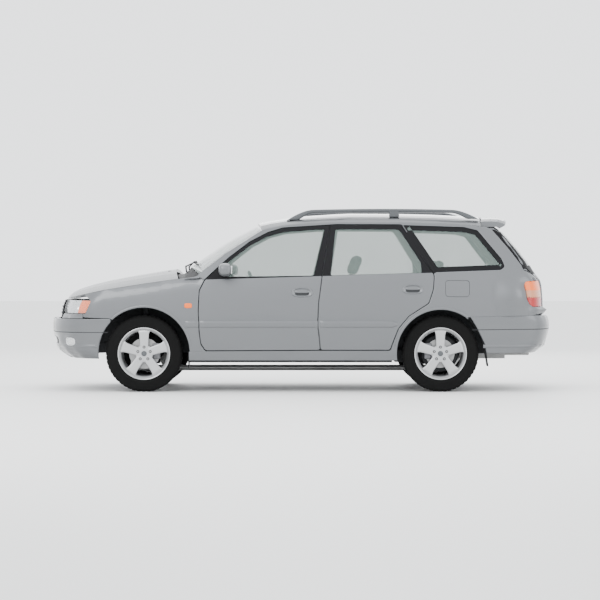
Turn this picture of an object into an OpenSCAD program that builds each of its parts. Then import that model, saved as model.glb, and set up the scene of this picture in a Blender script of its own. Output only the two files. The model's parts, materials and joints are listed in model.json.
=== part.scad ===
// Station wagon: hollow body of separate panels, opening doors, bonnet and
// tailgate, steered front wheels and a fitted cabin.
// Front is -X, the car's left side is -Y, up is +Z. Millimetres.

/* [Body] */
// Distance between the front and rear axles
wheelbase = 2600; // [2400:20:2900]
// Width of the body across the doors
body_width = 1732; // [1600:4:1860]
// Height of the side windows, from belt line to door tops
window_height = 455; // [390:5:550]
// Gap between neighbouring panels
panel_gap = 8; // [6:0.5:10]
// Thickness of a whole door, skin to inner trim
door_thickness = 72; // [60:1:80]
// Thickness of the outer door skin at the shut lines
door_skin = 12; // [8:1:16]
// Thickness of the body side, skin to inner trim
wall_thickness = 140; // [130:1:160]
// Thickness of the bonnet with its inner frame
bonnet_thickness = 26; // [18:1:32]
// Thickness of the roof with its lining
roof_thickness = 24; // [16:1:32]
// Thickness of the tailgate
tailgate_thickness = 44; // [30:1:55]

/* [Glass] */
// Thickness of the window glass
glass_thickness = 5; // [4:0.5:7]
// How deep the glass sits behind the body surface
glass_depth = 6; // [3:0.5:9]

/* [Wheels] */
// Outer radius of the tyre
tyre_radius = 336; // [310:1:350]
// Width of the tyre
tyre_width = 212; // [185:1:225]
// Radius of the rim flange
rim_radius = 229; // [200:1:240]
// Distance from the car's centre line to the middle of a wheel
half_track = 712; // [690:1:725]
// Number of wheel spokes
spoke_count = 5; // [4:1:8]
// Radius of the circle that the wheel nuts lie on
nut_circle_radius = 57.15; // [50:0.05:60]
// Radius of the front wheel arch
front_arch_radius = 404; // [390:1:420]
// Radius of the rear wheel arch
rear_arch_radius = 385; // [370:1:400]
// Radius of the stub axles that carry the wheels
stub_radius = 30; // [24:1:36]

/* [Fittings] */
// Radius of the roof rail bars
rail_radius = 14; // [11:0.5:17]
// Distance of the roof rails from the centre line
rail_y = 566; // [540:1:580]
// Thickness of the mud flaps
flap_thickness = 8; // [5:1:12]
// Radius of the steering wheel rim
steering_wheel_radius = 188; // [170:1:195]
// Width of each front seat
seat_width = 500; // [440:5:530]

/* [Hidden] */
$fn = 48;

// The drawing is laid out for these sizes, and place() stretches it to the chosen ones.
drawn_wheelbase = 2600;
drawn_half_width = 866;
drawn_window_height = 455;
stretch = wheelbase - drawn_wheelbase;
spread = body_width / 2 - drawn_half_width;
raise = window_height - drawn_window_height;
belt_z = 1005;
fit = 0.3;

silver = "#c9ccc6";
glass_tint = "#5f6e68";
black = "#1d1e20";
dark_grey = "#4a4d50";
trim_grey = "#8d9091";
alloy = "#d2d4d6";

function clamp01(t) = min(1, max(0, t));
function sx(x) = x - stretch / 2 + stretch * clamp01((x - 300) / 400);
function sy(y) = y + sign(y) * spread * clamp01(abs(y) / 400);
function sz(z) = z + raise * clamp01((z - belt_z) / drawn_window_height);
function place(p) = [sx(p.x), sy(p.y), sz(p.z)];
function place2(points) = [for (p = points) [sx(p.x), sz(p.y)]];
function place_yz(points) = [for (p = points) [sy(p.x), sz(p.y)]];
function mix(a, b, t) = a + (b - a) * t;
function steps(a, b, n) = [for (i = [0:n]) mix(a, b, i / n)];

front_axle_x = -1368;
rear_axle_x = 1232;
hinge_x_front = -816;
hinge_x_rear = 229;
hinge_y = 852;

// ---- Centre lines, seen from the side --------------------------------------

function nose_x(z) = lookup(z, [[640, -2128], [700, -2138], [752, -2130], [796, -2112],
    [823, -2094], [845, -2074]]);
function front_bumper_x(z) = lookup(z, [[290, -2060], [327, -2140], [364, -2186],
    [407, -2196], [451, -2192], [500, -2218], [550, -2226], [600, -2226], [640, -2216],
    [667, -2196], [684, -2160]]);
function rear_bumper_x(z) = lookup(z, [[340, 2090], [370, 2130], [402, 2180], [442, 2198],
    [496, 2210], [563, 2226], [610, 2225], [650, 2216], [674, 2200], [686, 2176]]);
function tail_x(z) = lookup(z, [[640, 2150], [700, 2156], [796, 2156], [867, 2149],
    [928, 2142], [972, 2130], [1016, 2112], [1069, 2079], [1143, 2042], [1236, 1971],
    [1368, 1862], [1412, 1815], [1445, 1752], [1521, 1652]]);
function roof_z(x) = lookup(x, [[-378, 1478], [-330, 1499], [-246, 1518], [-88, 1544],
    [130, 1568], [440, 1582], [800, 1582], [1200, 1572], [1602, 1551]]);
function roof_side_z(x) = lookup(x, [[-378, 1412], [-284, 1436], [-150, 1464],
    [60, 1486], [317, 1494], [898, 1492], [1300, 1482], [1500, 1470], [1602, 1452]]);
function bonnet_z(x) = lookup(x, [[-2100, 826], [-2077, 846], [-2042, 876], [-1989, 902],
    [-1936, 920], [-1883, 937], [-1778, 964], [-1672, 988], [-1461, 1025],
    [-1250, 1060], [-1118, 1080]]);
function crease_z(x) = lookup(x, [[-2100, 816], [-2042, 828], [-1856, 866], [-1733, 892],
    [-1320, 957], [-1017, 999], [-880, 1012]]);

// ---- Body surface ----------------------------------------------------------

front_corner = 340;
front_corner_power = 2.6;
function rear_corner(z) = mix(150, 60, clamp01((z - 1380) / 120));
rear_corner_power = 4;
bumper_corner = 400;

function section_w(z) = z < belt_z
    ? drawn_half_width - 0.00025 * pow(z - 640, 2)
    : drawn_half_width - 33 - 0.3 * (z - belt_z) - 0.000244 * pow(z - belt_z, 2);
function taper(x, z) = x < -700 ? 45 * pow((x + 700) / 1200, 2)
    : x > 700 ? (38 + 0.08 * max(0, z - belt_z)) * pow((x - 700) / 1300, 2) : 0;
function front_round(x, z) = let (start = nose_x(z) + front_corner)
    x < start ? pow(max(0.01, 1 - pow((start - x) / front_corner, 2)), 1 / front_corner_power) : 1;
function shoulder(x, z) = let (top = crease_z(x))
    x < -850 && z > top - 80 ? 26 * pow(clamp01((z - top + 80) / 80), 2) : 0;
function side_w(x, z) = (section_w(z) - taper(x, z) - shoulder(x, z)) * front_round(x, z);

// A point on the front or rear end. s runs from -2 to 2: the middle half is the rounded
// end, and the rest runs back along the sides to x_end.
function end_point(s, z, off, tip, corner, power, x_end, facing) =
    let (a = abs(s), side = sign(s) * facing, start = tip - facing * corner,
         w = section_w(z) - taper(start, z) - off)
    a <= 1
        ? [start + facing * (corner - off) * cos(90 * a), side * w * pow(sin(90 * a), 2 / power), z]
        : let (x = mix(start, x_end, a - 1))
            [x, side * (section_w(z) - taper(x, z) - off), z];

// Closed slab between an outer and an inner sheet. Seen from outside, u runs right and v up.
module slab(us, vs, outer, inner) {
    m = len(vs);
    n = len(us);
    count = m * n;
    points = concat([for (u = us, v = vs) place(outer(u, v))],
                    [for (u = us, v = vs) place(inner(u, v))]);
    function id(i, j) = i * m + j;
    function quad(a, b, c, d) = [[a, b, c], [a, c, d]];
    skin = [for (i = [0:n - 2], j = [0:m - 2])
        each quad(id(i, j), id(i, j + 1), id(i + 1, j + 1), id(i + 1, j))];
    lining = [for (f = skin) [f[0] + count, f[2] + count, f[1] + count]];
    low = [for (i = [0:n - 2])
        each quad(id(i, 0), id(i + 1, 0), id(i + 1, 0) + count, id(i, 0) + count)];
    high = [for (i = [0:n - 2]) each quad(id(i + 1, m - 1), id(i, m - 1),
        id(i, m - 1) + count, id(i + 1, m - 1) + count)];
    left = [for (j = [0:m - 2])
        each quad(id(0, j + 1), id(0, j), id(0, j) + count, id(0, j + 1) + count)];
    right = [for (j = [0:m - 2]) each quad(id(n - 1, j), id(n - 1, j + 1),
        id(n - 1, j + 1) + count, id(n - 1, j) + count)];
    polyhedron(points, concat(skin, lining, low, high, left, right), convexity = 6);
}

// Gathers faceted pieces into one mesh.
module meshed() { resize([0, 0, 0]) children(); }

// Extrudes an outline drawn in x and z along y, from y0 to y1.
module across(y0, y1) {
    translate([0, y1, 0]) rotate([90, 0, 0]) linear_extrude(y1 - y0) children();
}

// Extrudes an outline drawn in y and z along x, from x0 to x1.
module along(x0, x1) {
    translate([x0, 0, 0]) rotate([90, 0, 90]) linear_extrude(x1 - x0) children();
}

module both_sides() {
    children();
    mirror([0, 1, 0]) children();
}

module box(low, high) { translate(low) cube(high - low); }

side_rows = [270, 300, 342, 420, 520, 640, 760, 880, 960, 1004, 1012, 1100, 1200, 1300, 1400, 1510];

// Left body skin between two depths, over the given x stations.
module side_skin(stations, depth0, depth1, rows = side_rows) {
    slab(stations, rows,
        function(x, z) [x, -side_w(x, z) + depth0, z],
        function(x, z) [x, -side_w(x, z) + depth1, z]);
}

// Left body skin that runs back from x_start and turns round the rear corner.
module rear_side_skin(x_start, s_list, depth0, depth1, rows) {
    slab(s_list, rows,
        function(s, z) end_point(s, z, depth0, tail_x(z), rear_corner(z), rear_corner_power,
            x_start, 1),
        function(s, z) end_point(s, z, depth1, tail_x(z), rear_corner(z), rear_corner_power,
            x_start, 1));
}

// ---- Outlines, seen from the side ------------------------------------------

front_door_line = [[-835, 983], [-882, 888], [-890, 715], [-882, 526], [-866, 416],
    [-826, 361], [178, 366], [170, 463], [154, 589], [162, 778], [194, 1016], [268, 1468],
    [-150, 1441], [-284, 1400], [-444, 1316], [-627, 1175]];
rear_door_line = [[178, 366], [790, 366], [806, 416], [862, 558], [956, 668], [1128, 778],
    [1168, 903], [1176, 1013], [1170, 1037], [898, 1469], [317, 1471], [268, 1468],
    [194, 1016], [162, 778], [154, 589], [170, 463]];
front_window_line = [[-640, 1008], [-640, 1130], [-440, 1284], [-284, 1366], [-140, 1404],
    [100, 1424], [217, 1430], [120, 1018]];
rear_window_line = [[268, 1020], [312, 1430], [868, 1428], [900, 1385], [1062, 1132],
    [1066, 1042]];
quarter_line = [[905, 1466], [1447, 1449], [1570, 1420], [1774, 1164], [1800, 1101],
    [1764, 1069], [1181, 1048]];
front_opening_line = [[-802, 980], [-858, 880], [-862, 520], [-806, 412], [130, 412],
    [112, 600], [120, 780], [154, 1010], [222, 1436], [-140, 1412], [-284, 1366],
    [-444, 1282], [-610, 1154]];
rear_opening_line = [[304, 412], [760, 412], [824, 578], [926, 700], [1092, 806],
    [1130, 910], [1136, 1020], [870, 1436], [338, 1436], [268, 1010], [240, 780],
    [240, 600]];
body_side_line = concat(
    [[-972, 277], [1700, 277], [1700, 650], [2200, 650], [2200, 1060], [1996, 1060],
     [1954, 1098], [1836, 1257], [1690, 1432], [1640, 1450], [1590, 1450]],
    [for (x = [1500, 1300, 898, 317, 60, -150, -284]) [x, roof_side_z(x) - fit]],
    [[-330, 1424], [-655, 1214], [-878, 1040], [-905, 1012], [-958, 1004], [-1048, 988],
     [-1048, 950], [-958, 930], [-958, 352], [-972, 352]]);
fender_thickness = 14;
fender_stations = [-1906, -1880, -1850, -1800, -1733, -1600, -1480, -1368, -1250, -1130, -1060,
    -1000, -884, -830];
fender_rows = [352, 420, 520, 640, 700, 780, 811, 850, 880, 910, 940, 960, 1012];

door_inset = 18;
door_depth_to_pillar = door_thickness + 28;

module door_area(points) {
    offset(delta = -panel_gap / 2) polygon(place2(points));
}

// ---- Shell -----------------------------------------------------------------

module body_side() {
    rows = [277, 300, 342, 420, 520, 655, 745, 880, 975, 1004, 1012, 1060, 1200, 1300, 1400, 1496];
    s_list = [-2, -1.93, -1.72, -1.5, -1.32, -1.2, -1.1, -1, -0.88, -0.76, -0.64, -0.52, -0.4];
    color(silver) meshed() {
    hinge_leaves(front_door_line, [-1000, -800], panel_gap + door_inset + 8);
    hinge_leaves(rear_door_line, [100, 240], 26);
    difference() {
        intersection() {
            rear_side_skin(-1012, s_list, 0, wall_thickness, rows);
            across(-1000 - spread, 0) polygon(place2(body_side_line));
        }
        // Door apertures, down to the flange that the doors close against
        intersection() {
            rear_side_skin(-1020, s_list, -20, door_depth_to_pillar, rows);
            across(-1000 - spread, 0) offset(delta = panel_gap / 2)
                polygon(place2(front_door_line));
        }
        intersection() {
            rear_side_skin(-1020, s_list, -20, door_depth_to_pillar, rows);
            across(-1000 - spread, 0) offset(delta = panel_gap / 2)
                polygon(place2(rear_door_line));
        }
        across(-1000 - spread, 0) polygon(place2(front_opening_line));
        across(-1000 - spread, 0) polygon(place2(rear_opening_line));
        across(-1000 - spread, 0) polygon(place2(quarter_line));
        // Wheel arch
        translate([sx(rear_axle_x), 0, tyre_radius])
            rotate([90, 0, 0]) cylinder(r = rear_arch_radius, h = 1000 + spread, $fn = 64);
        // The fender covers the outside of the hinge pillar
        intersection() {
            side_skin([-1130, -1060, -1000, -884, -830], -20, fender_thickness + fit, fender_rows);
            across(-1000 - spread, 0)
                polygon(place2([[-1120, 352], [-840, 352], [-840, 983], [-886, 1012], [-1120, 1012]]));
        }
        // Room for the rear bumper, tail light and tailgate
        across(-1000 - spread, 0) offset(delta = fit) polygon(place2(concat([[1470, 200]],
            bumper_top_line, [[2300, 200]])));
        intersection() {
            across(-1000 - spread, 0) polygon(place2(tail_light_line));
            box([sx(1500), -1000 - spread, 0], [sx(2300), -tail_light_y + panel_gap, 2000]);
        }
        along(sx(1500), sx(2300)) offset(delta = panel_gap + 1.5)
            polygon(place_yz(tailgate_line));
        children();
    }
    }
}

// Two leaves that reach from the pillar to the front edge of a door's inner body.
module hinge_leaves(line, x_range, reach) {
    for (z = [440, 830]) intersection() {
        side_skin(steps(x_range[0], x_range[1], 2), 60, door_depth_to_pillar + 4);
        across(-1000 - spread, 0) difference() {
            offset(delta = reach - door_inset) door_area(line);
            offset(delta = fit - door_inset) door_area(line);
        }
        box([sx(x_range[0]), -1000 - spread, z], [sx(x_range[1]), 0, z + 55]);
    }
}

bumper_top_line = [[1470, 656], [2004, 670], [2300, 675]];
tail_light_y = 560;
tail_light_line = [[1968, 947], [1981, 968], [2102, 976], [2300, 976], [2300, 747], [2035, 747],
    [2001, 786]];
tailgate_top_z = 1500;
spoiler_half_width = 572;
function spoiler_drop(y) = 26 * pow(y / spoiler_half_width, 2) + 44 * pow(y / spoiler_half_width, 10);
tailgate_half = [[752, 1068], [640, 1002], [552, 986], [552, 694]];
tailgate_line = concat(
    [for (y = [-570, -540, -480, -380, -200, 0, 200, 380, 480, 540, 570])
        [y, tailgate_top_z - spoiler_drop(y)]],
    tailgate_half, [for (i = [3:-1:0]) [-tailgate_half[i].x, tailgate_half[i].y]]);
flap_line = [[1272, 834], [1485, 834], [1485, 978], [1272, 978]];

module flap_area(inset) {
    offset(r = 28 - inset) offset(delta = -28) polygon(place2(flap_line));
}

flap_stations = [1260, 1300, 1380, 1460, 1500];
flap_rows = [800, 880, 960, 1004];
flap_thick = 8;
pocket_y = 760;

module body_side_left() {
    body_side() difference() {
        across(-1000 - spread, -pocket_y - spread) flap_area(0);
        // Hinge block of the fuel flap stands on the pocket floor
        across(-side_w(1288, 912) + flap_thick + 2 * fit - spread, 0) flap_block();
    }
}

module flap_block() {
    polygon(place2([[1284, 900], [1292, 900], [1292, 912], [1284, 912]]));
}

module body_side_right() {
    mirror([0, 1, 0]) body_side();
}

module fuel_flap() {
    color(silver) meshed() intersection() {
        side_skin(flap_stations, 0, flap_thick, flap_rows);
        across(-1000 - spread, 0) flap_area(3);
    }
}

// Roof surface: gently crowned, turning down at the sides.
function roof_half(x) = side_w(x, roof_side_z(x)) - 2;
function roof_point(x, v, lift) =
    let (half = roof_half(x), r = abs(v), top = roof_z(x), low = roof_side_z(x))
    [x - 42 * (1 - v * v) * clamp01((-200 - x) / 140), v * half,
     top - 34 * r * r - (top - 34 - low) * pow(r, 12) + lift];

// Height of the roof surface at a distance y from the centre line
function roof_at(x, y) = roof_point(x, y / roof_half(x), 0).z;

module roof_panel() {
    stations = [-340, -300, -284, -246, -150, -88, 60, 317, 440, 898, 1200, 1300, 1500, 1594];
    vs = [-1, -0.985, -0.95, -0.9, -0.8, -0.5, 0, 0.5, 0.8, 0.9, 0.95, 0.985, 1];
    color(silver) meshed() {
        slab(stations, vs,
            function(x, v) roof_point(x, v, 0),
            function(x, v) roof_point(x, v * 0.905, -roof_thickness));
        // Hinge blocks over the top edge of the tailgate
        both_sides() panel([1570, -315, tailgate_top_z - 7.1 + fit], [1623.7, -285, 1526]);
    }
}

module front_fender() {
    color(silver) meshed() difference() {
        intersection() {
            side_skin(fender_stations, 0, fender_thickness, fender_rows);
            across(-1000 - spread, 0) polygon(place2(concat(
                [[-1000, 352 + fit], [-840, 352 + fit], [-840, 980], [-884, 1009]],
                [for (x = [-1017, -1320, -1733, -1856, -1880]) [x, crease_z(x) - 3]],
                [[-1896, 852], [-1846, 812], [-1834, 792], [-1885, 684], [-1906, 684],
                 [-1906, 652], [-1668, 645]])));
        }
        translate([sx(front_axle_x), 0, tyre_radius])
            rotate([90, 0, 0]) cylinder(r = front_arch_radius, h = 1000 + spread, $fn = 64);
        across(-1000 - spread, 0) offset(delta = panel_gap / 2) polygon(place2(front_door_line));
    }
}

module front_fenders() { both_sides() front_fender(); }

module front_bumper() {
    rows = [290, 327, 364, 407, 451, 500, 550, 600, 640];
    s_half = [0.12, 0.3, 0.5, 0.7, 0.85, 1, 1.3, 1.7, 2];
    s_list = concat([for (i = [8:-1:0]) -s_half[i]], s_half);
    color(silver) meshed() difference() {
        slab(s_list, rows,
            function(s, z) end_point(s, z, 0, front_bumper_x(z), bumper_corner,
                front_corner_power, -1560, -1),
            function(s, z) end_point(s, z, 30, front_bumper_x(z), bumper_corner,
                front_corner_power, -1560, -1));
        both_sides() translate([sx(front_axle_x), 0, tyre_radius])
            rotate([90, 0, 0]) cylinder(r = front_arch_radius, h = 1000 + spread, $fn = 64);
        box([sx(-1762), -2000, 200], [sx(-1500), 2000, 436]);
        box([sx(-1662), -2000, 200], [sx(-1500), 2000, 700]);
        // Lower air intake
        along(sx(-2400), sx(-2000)) offset(r = 12) offset(delta = -12)
            polygon(place_yz([[-430, 392], [430, 392], [400, 470], [-400, 470]]));
    }
}

// Panel between the bumper and the bonnet: grille and the strip under the headlights.
module grille_panel() {
    s_half = [0.12, 0.3, 0.5, 0.7, 0.85, 0.95];
    s_list = concat([for (i = [5:-1:0]) -s_half[i]], s_half);
    color(dark_grey) meshed() difference() {
        slab(s_list, [644, 660, 700, 752, 796, 806],
            function(s, z) end_point(s, z, z < 650 ? -20 : 0, nose_x(z), front_corner,
                front_corner_power, -1560, -1),
            function(s, z) end_point(s, z, 40, nose_x(z), front_corner,
                front_corner_power, -1560, -1));
        both_sides() box([-3000, -1000 - spread, 684], [0, -headlight_in + fit, 1000]);
        box([sx(-1906) - 0.5, -2000, 0], [0, 2000, 1000]);
        for (z = [706:26:786])
            box([sx(-2200), -340, z], [sx(-1900), 340, z + 14]);
    }
}

headlight_in = 386;
headlight_line = [[-2200, 808], [-1850, 806], [-1836, 792], [-1889, 684 + fit], [-2200, 684 + fit]];

module headlights() {
    color("#dfe4e6") meshed() both_sides() intersection() {
        slab([0.3, 0.4, 0.5, 0.6, 0.7, 0.8, 0.9, 1, 1.3], [684, 720, 752, 784, 812],
            function(s, z) end_point(s, z, 1, nose_x(z), front_corner,
                front_corner_power, -1700, -1),
            function(s, z) end_point(s, z, 70, nose_x(z), front_corner,
                front_corner_power, -1700, -1));
        across(-1000 - spread, -headlight_in) polygon(place2(headlight_line));
    }
}

module rear_bumper() {
    rows = [340, 370, 402, 442, 496, 563, 610, 650, 680];
    s_half = [0, 0.1, 0.3, 0.5, 0.7, 0.85, 1, 1.3, 1.65, 2];
    s_list = concat([for (i = [9:-1:1]) -s_half[i]], s_half);
    color(silver) meshed() difference() {
        slab(s_list, rows,
            function(s, z) end_point(s, z, -2, rear_bumper_x(z), bumper_corner / 2,
                rear_corner_power, 1480, 1),
            function(s, z) end_point(s, z, 45, rear_bumper_x(z), bumper_corner / 2,
                rear_corner_power, 1480, 1));
        across(-1000 - spread, 1000 + spread)
            polygon(place2(concat(bumper_top_line, [[2300, 800], [1470, 800]])));
        both_sides() across(-1100 - spread, 0)
            polygon(place2([[1400, 700], [1496, 652], [1544, 576], [1584, 496], [1624, 415],
                [1643, 287], [1400, 200]]));
    }
}

module tail_lights() {
    color("#b3261e") meshed() both_sides() intersection() {
        slab([-1.3, -1, -0.88, -0.76, -0.64, -0.52, -0.4, -0.28, -0.16],
            [749, 832, 890, 930, 974],
            function(s, z) end_point(s, z, -3, tail_x(z), rear_corner(z), rear_corner_power, 1800, 1),
            function(s, z) end_point(s, z, 60, tail_x(z), rear_corner(z), rear_corner_power, 1800, 1));
        across(-1000 - spread, -tail_light_y) offset(delta = -fit)
            polygon(place2(tail_light_line));
    }
}

// ---- Glass -----------------------------------------------------------------

screen_centre = [[-985, 1104], [-880, 1175], [-774, 1245], [-669, 1316], [-563, 1377],
    [-458, 1430], [-390, 1464]];
screen_edge = [[-887, 1040], [-790, 1118], [-700, 1190], [-600, 1264], [-500, 1330],
    [-410, 1387], [-346, 1427]];

function screen_point(v, i, sink) =
    let (c = screen_centre[i], e = screen_edge[i], t = v * v,
         half = side_w(e.x, e.y) - 5)
    [mix(c.x, e.x, t) + sink * 0.52, -v * (half - sink * 0.3), mix(c.y, e.y, t) - sink * 0.85];

module windscreen() {
    color(glass_tint) slab([-1, -0.85, -0.6, -0.3, 0, 0.3, 0.6, 0.85, 1], [for (i = [0:6]) i],
        function(v, i) screen_point(v, i, 0),
        function(v, i) screen_point(v, i, glass_thickness + 1));
}

module side_glass(stations, line, rows) {
    color(glass_tint) meshed() intersection() {
        side_skin(stations, glass_depth, glass_depth + glass_thickness, rows);
        across(-1000 - spread, 0) offset(delta = -fit) polygon(place2(line));
    }
}

glass_rows = [990, 1012, 1100, 1200, 1300, 1400, 1480];

module quarter_windows() {
    both_sides() side_glass([880, 1100, 1300, 1500, 1650, 1820], quarter_line, glass_rows);
}
module front_door_glass() { side_glass([-700, -300, 280], front_window_line, glass_rows); }
module rear_door_glass() { side_glass([240, 700, 900, 1100], rear_window_line, glass_rows); }
module front_door_glass_left() { front_door_glass(); }
module front_door_glass_right() { mirror([0, 1, 0]) front_door_glass(); }
module rear_door_glass_left() { rear_door_glass(); }
module rear_door_glass_right() { mirror([0, 1, 0]) rear_door_glass(); }

// ---- Doors -----------------------------------------------------------------

// A skin that reaches the shut lines, with a thicker body set in from them.
module door(stations, line, window) {
    color(silver) meshed() difference() {
        union() {
            intersection() {
                side_skin(stations, 0, door_skin);
                across(-1000 - spread, 0) door_area(line);
            }
            intersection() {
                side_skin(stations, door_skin - 2, door_thickness);
                across(-1000 - spread, 0) offset(delta = -door_inset) door_area(line);
            }
        }
        across(-1000 - spread, 0) polygon(place2(window));
        // Slimmer window frame above the belt line
        intersection() {
            side_skin(stations, 34, door_thickness + 20, [1030, 1100, 1200, 1300, 1400, 1500]);
            across(-1000 - spread, 0) offset(delta = 60) polygon(place2(window));
        }
    }
}

module front_door() { door([-900, -800, -700, 0, 280], front_door_line, front_window_line); }
module rear_door() {
    door([145, 300, 700, 800, 900, 1000, 1100, 1185], rear_door_line, rear_window_line);
}
module front_door_left() { front_door(); }
module front_door_right() { mirror([0, 1, 0]) front_door(); }
module rear_door_left() { rear_door(); }
module rear_door_right() { mirror([0, 1, 0]) rear_door(); }

module door_mirror() {
    color(silver) hull() {
        translate([sx(-650), sy(-900), 1070]) scale([1, 1, 0.95]) sphere(r = 60, $fn = 24);
        translate([sx(-640), sy(-965), 1072]) scale([0.8, 0.6, 1]) sphere(r = 58, $fn = 24);
        translate([sx(-700), sy(-836), 1016]) cube([46, 5.7, 60]);
    }
}
module door_mirror_left() { door_mirror(); }
module door_mirror_right() { mirror([0, 1, 0]) door_mirror(); }

// ---- Bonnet and tailgate ---------------------------------------------------

bonnet_hinge = [-1062, 1000];
bonnet_rear_x = -1118;

function bonnet_half(x) = side_w(x, crease_z(x) - 4) - fender_thickness - panel_gap;
function bonnet_point(u, v, sink) =
    let (r = abs(v), x = u + 50 * v * v * clamp01((u + 1500) / 380),
         edge = crease_z(x), top = bonnet_z(x), deep = sink * mix(0.3, 1, clamp01((u + 2076) / 120)))
    [x, v * (bonnet_half(x) - deep * 0.6), top - (top - edge) * pow(r, 2.4) - deep];

module bonnet() {
    stations = [-2076, -2042, -1989, -1936, -1856, -1733, -1560, -1380, -1250, bonnet_rear_x];
    vs = [-1, -0.96, -0.88, -0.7, -0.4, 0, 0.4, 0.7, 0.88, 0.96, 1];
    color(silver) slab(stations, vs,
        function(u, v) bonnet_point(u, v, 0),
        function(u, v) bonnet_point(u, v, bonnet_thickness));
}

tailgate_hinge = [1622, 1545];
tailgate_window = [[-540, 1424], [-664, 1110], [664, 1110], [540, 1424]];
tailgate_s = [-0.95, -0.84, -0.72, -0.6, -0.48, -0.36, -0.24, -0.12, -0.04,
    0.04, 0.12, 0.24, 0.36, 0.48, 0.6, 0.72, 0.84, 0.95];

module tailgate_skin(depth0, depth1, rows) {
    slab(tailgate_s, rows,
        function(s, z) end_point(s, z, depth0, tail_x(z), rear_corner(z), rear_corner_power, 1800, 1),
        function(s, z) end_point(s, z, depth1, tail_x(z), rear_corner(z), rear_corner_power, 1800, 1));
}

module tailgate() {
    color(silver) meshed() difference() {
        intersection() {
            tailgate_skin(0, tailgate_thickness, [690, 796, 867, 928, 972, 1016, 1069, 1143,
                1236, 1368, 1412, 1445, tailgate_top_z + 5]);
            along(sx(1400), sx(2300)) polygon(place_yz(tailgate_line));
        }
        along(sx(1400), sx(2300)) polygon(place_yz(tailgate_window));
    }
}

module tailgate_glass() {
    color(glass_tint) meshed() intersection() {
        tailgate_skin(3, 3 + glass_thickness, [1069, 1143, 1236, 1368, 1412, 1445]);
        along(sx(1400), sx(2300)) offset(delta = -fit) polygon(place_yz(tailgate_window));
    }
}

spoiler_top = [[1628, 1546], [1700, 1549], [1778, 1546], [1830, 1530], [1848, 1516]];
spoiler_base = [[1632, tailgate_top_z + fit], [1700, tailgate_top_z + fit],
    [1770, tailgate_top_z + fit], [1796, 1484], [1840, 1508]];

function spoiler_point(profile, i, y) =
    [profile[i].x - 34 * pow(y / spoiler_half_width, 4), y, profile[i].y - spoiler_drop(y)];

module rear_spoiler() {
    ys = [-540, -480, -380, -200, 0, 200, 380, 480, 540];
    color(silver) slab([for (i = [0:4]) i], ys,
        function(i, y) spoiler_point(spoiler_top, i, y),
        function(i, y) spoiler_point(spoiler_base, i, y));
}

module rear_wiper() {
    color(black) {
        translate([sx(tail_x(1050) + 0.6), 0, 1050]) rotate([0, 57, 0]) cylinder(r = 16, h = 26);
        hull() {
            translate([sx(2116), 0, 1058]) sphere(r = 8, $fn = 8);
            translate([sx(2072), 380, 1122]) sphere(r = 7, $fn = 8);
        }
    }
}

// ---- Outside fittings ------------------------------------------------------

rail_z = 1600;

// Outline of a foot; a height of 0 stands for the roof surface.
module rail_foot(points) {
    across(-foot_half, foot_half) polygon(place2([for (p = points)
        [p.x, p.y == 0 ? roof_at(p.x, rail_y - foot_half) + fit : p.y]]));
}

foot_half = 15;

module roof_rail() {
    translate([0, -rail_y - spread, 0]) {
        translate([sx(40), 0, sz(rail_z)]) rotate([0, 90, 0])
            cylinder(r = rail_radius, h = sx(1440) - sx(40));
        rail_foot([[-116, 0], [60, rail_z], [80, rail_z], [140, 1562], [72, 0]]);
        rail_foot([[792, 0], [820, rail_z], [876, rail_z], [904, 0]]);
        rail_foot([[1426, 0], [1400, 1570], [1420, rail_z], [1450, rail_z], [1580, 0]]);
    }
}
module roof_rails() { color(dark_grey) both_sides() roof_rail(); }

module mud_flap(x, tilt, low_z, high_z, y0, y1) {
    translate([sx(x), 0, 0]) hull() {
        box([0, -y1 - spread, high_z - 10], [flap_thickness, -y0 - spread, high_z]);
        box([tilt, -y1 - spread, low_z], [tilt + flap_thickness, -y0 - spread, low_z + 10]);
    }
}

module mud_flaps() {
    color(black) both_sides() {
        mud_flap(-972 - fit - flap_thickness, 0, 210, 352, 640, 806);
        mud_flap(1623.3 - flap_thickness, 28, 225, 412, 676, 806);
    }
}

// A point on the lower part of the windscreen, lifted clear of the glass.
function wiper_point(v, up, lift) = mix(screen_point(v, 0, -lift), screen_point(v, 1, -lift), up);

module wiper(v0, v1, pivot_v) {
    pivot = cowl_point(0.62, pivot_v, 16);
    tips = [for (i = [0:2]) wiper_point(mix(v0, v1, i / 2), 0.3 + i * 0.05, 14.8)];
    for (i = [0:1]) hull() for (t = [tips[i], tips[i + 1]])
        translate(place(t)) sphere(r = 7, $fn = 8);
    hull() {
        translate(place(pivot)) sphere(r = 7.5, $fn = 8);
        translate(place(pivot + [-6, 0, 46])) sphere(r = 7.5, $fn = 8);
    }
    hull() {
        translate(place(pivot + [-6, 0, 46])) sphere(r = 7.5, $fn = 8);
        translate(place(tips[1] + [-8, 0, 14])) sphere(r = 6, $fn = 8);
    }
    hull() for (t = [tips[1], tips[1] + [-8, 0, 14]]) translate(place(t)) sphere(r = 6, $fn = 8);
}
module wipers() { color(black) { wiper(-0.62, 0.02, -0.3); wiper(0.1, 0.72, 0.41); } }

module cowl_panel() {
    vs = [-1, -0.85, -0.6, -0.3, 0, 0.3, 0.6, 0.85, 1];
    us = [0, 0.45, 0.9, 1];
    color(black) slab(us, vs,
        function(u, v) cowl_point(u, v, 0),
        function(u, v) cowl_point(u, v, -14));
}
function cowl_point(u, v, lift) =
    let (t = v * v, x0 = mix(-1104, -1044, t), x1 = mix(-988, -890, t),
         z0 = mix(1030, 962, t), z1 = mix(1096, 1032, t))
    [mix(x0, x1, u), v * (side_w(-900, 1000) - wall_thickness - 2), mix(z0, z1, pow(u, 3)) + lift];

// ---- Cabin and underside ---------------------------------------------------

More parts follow.
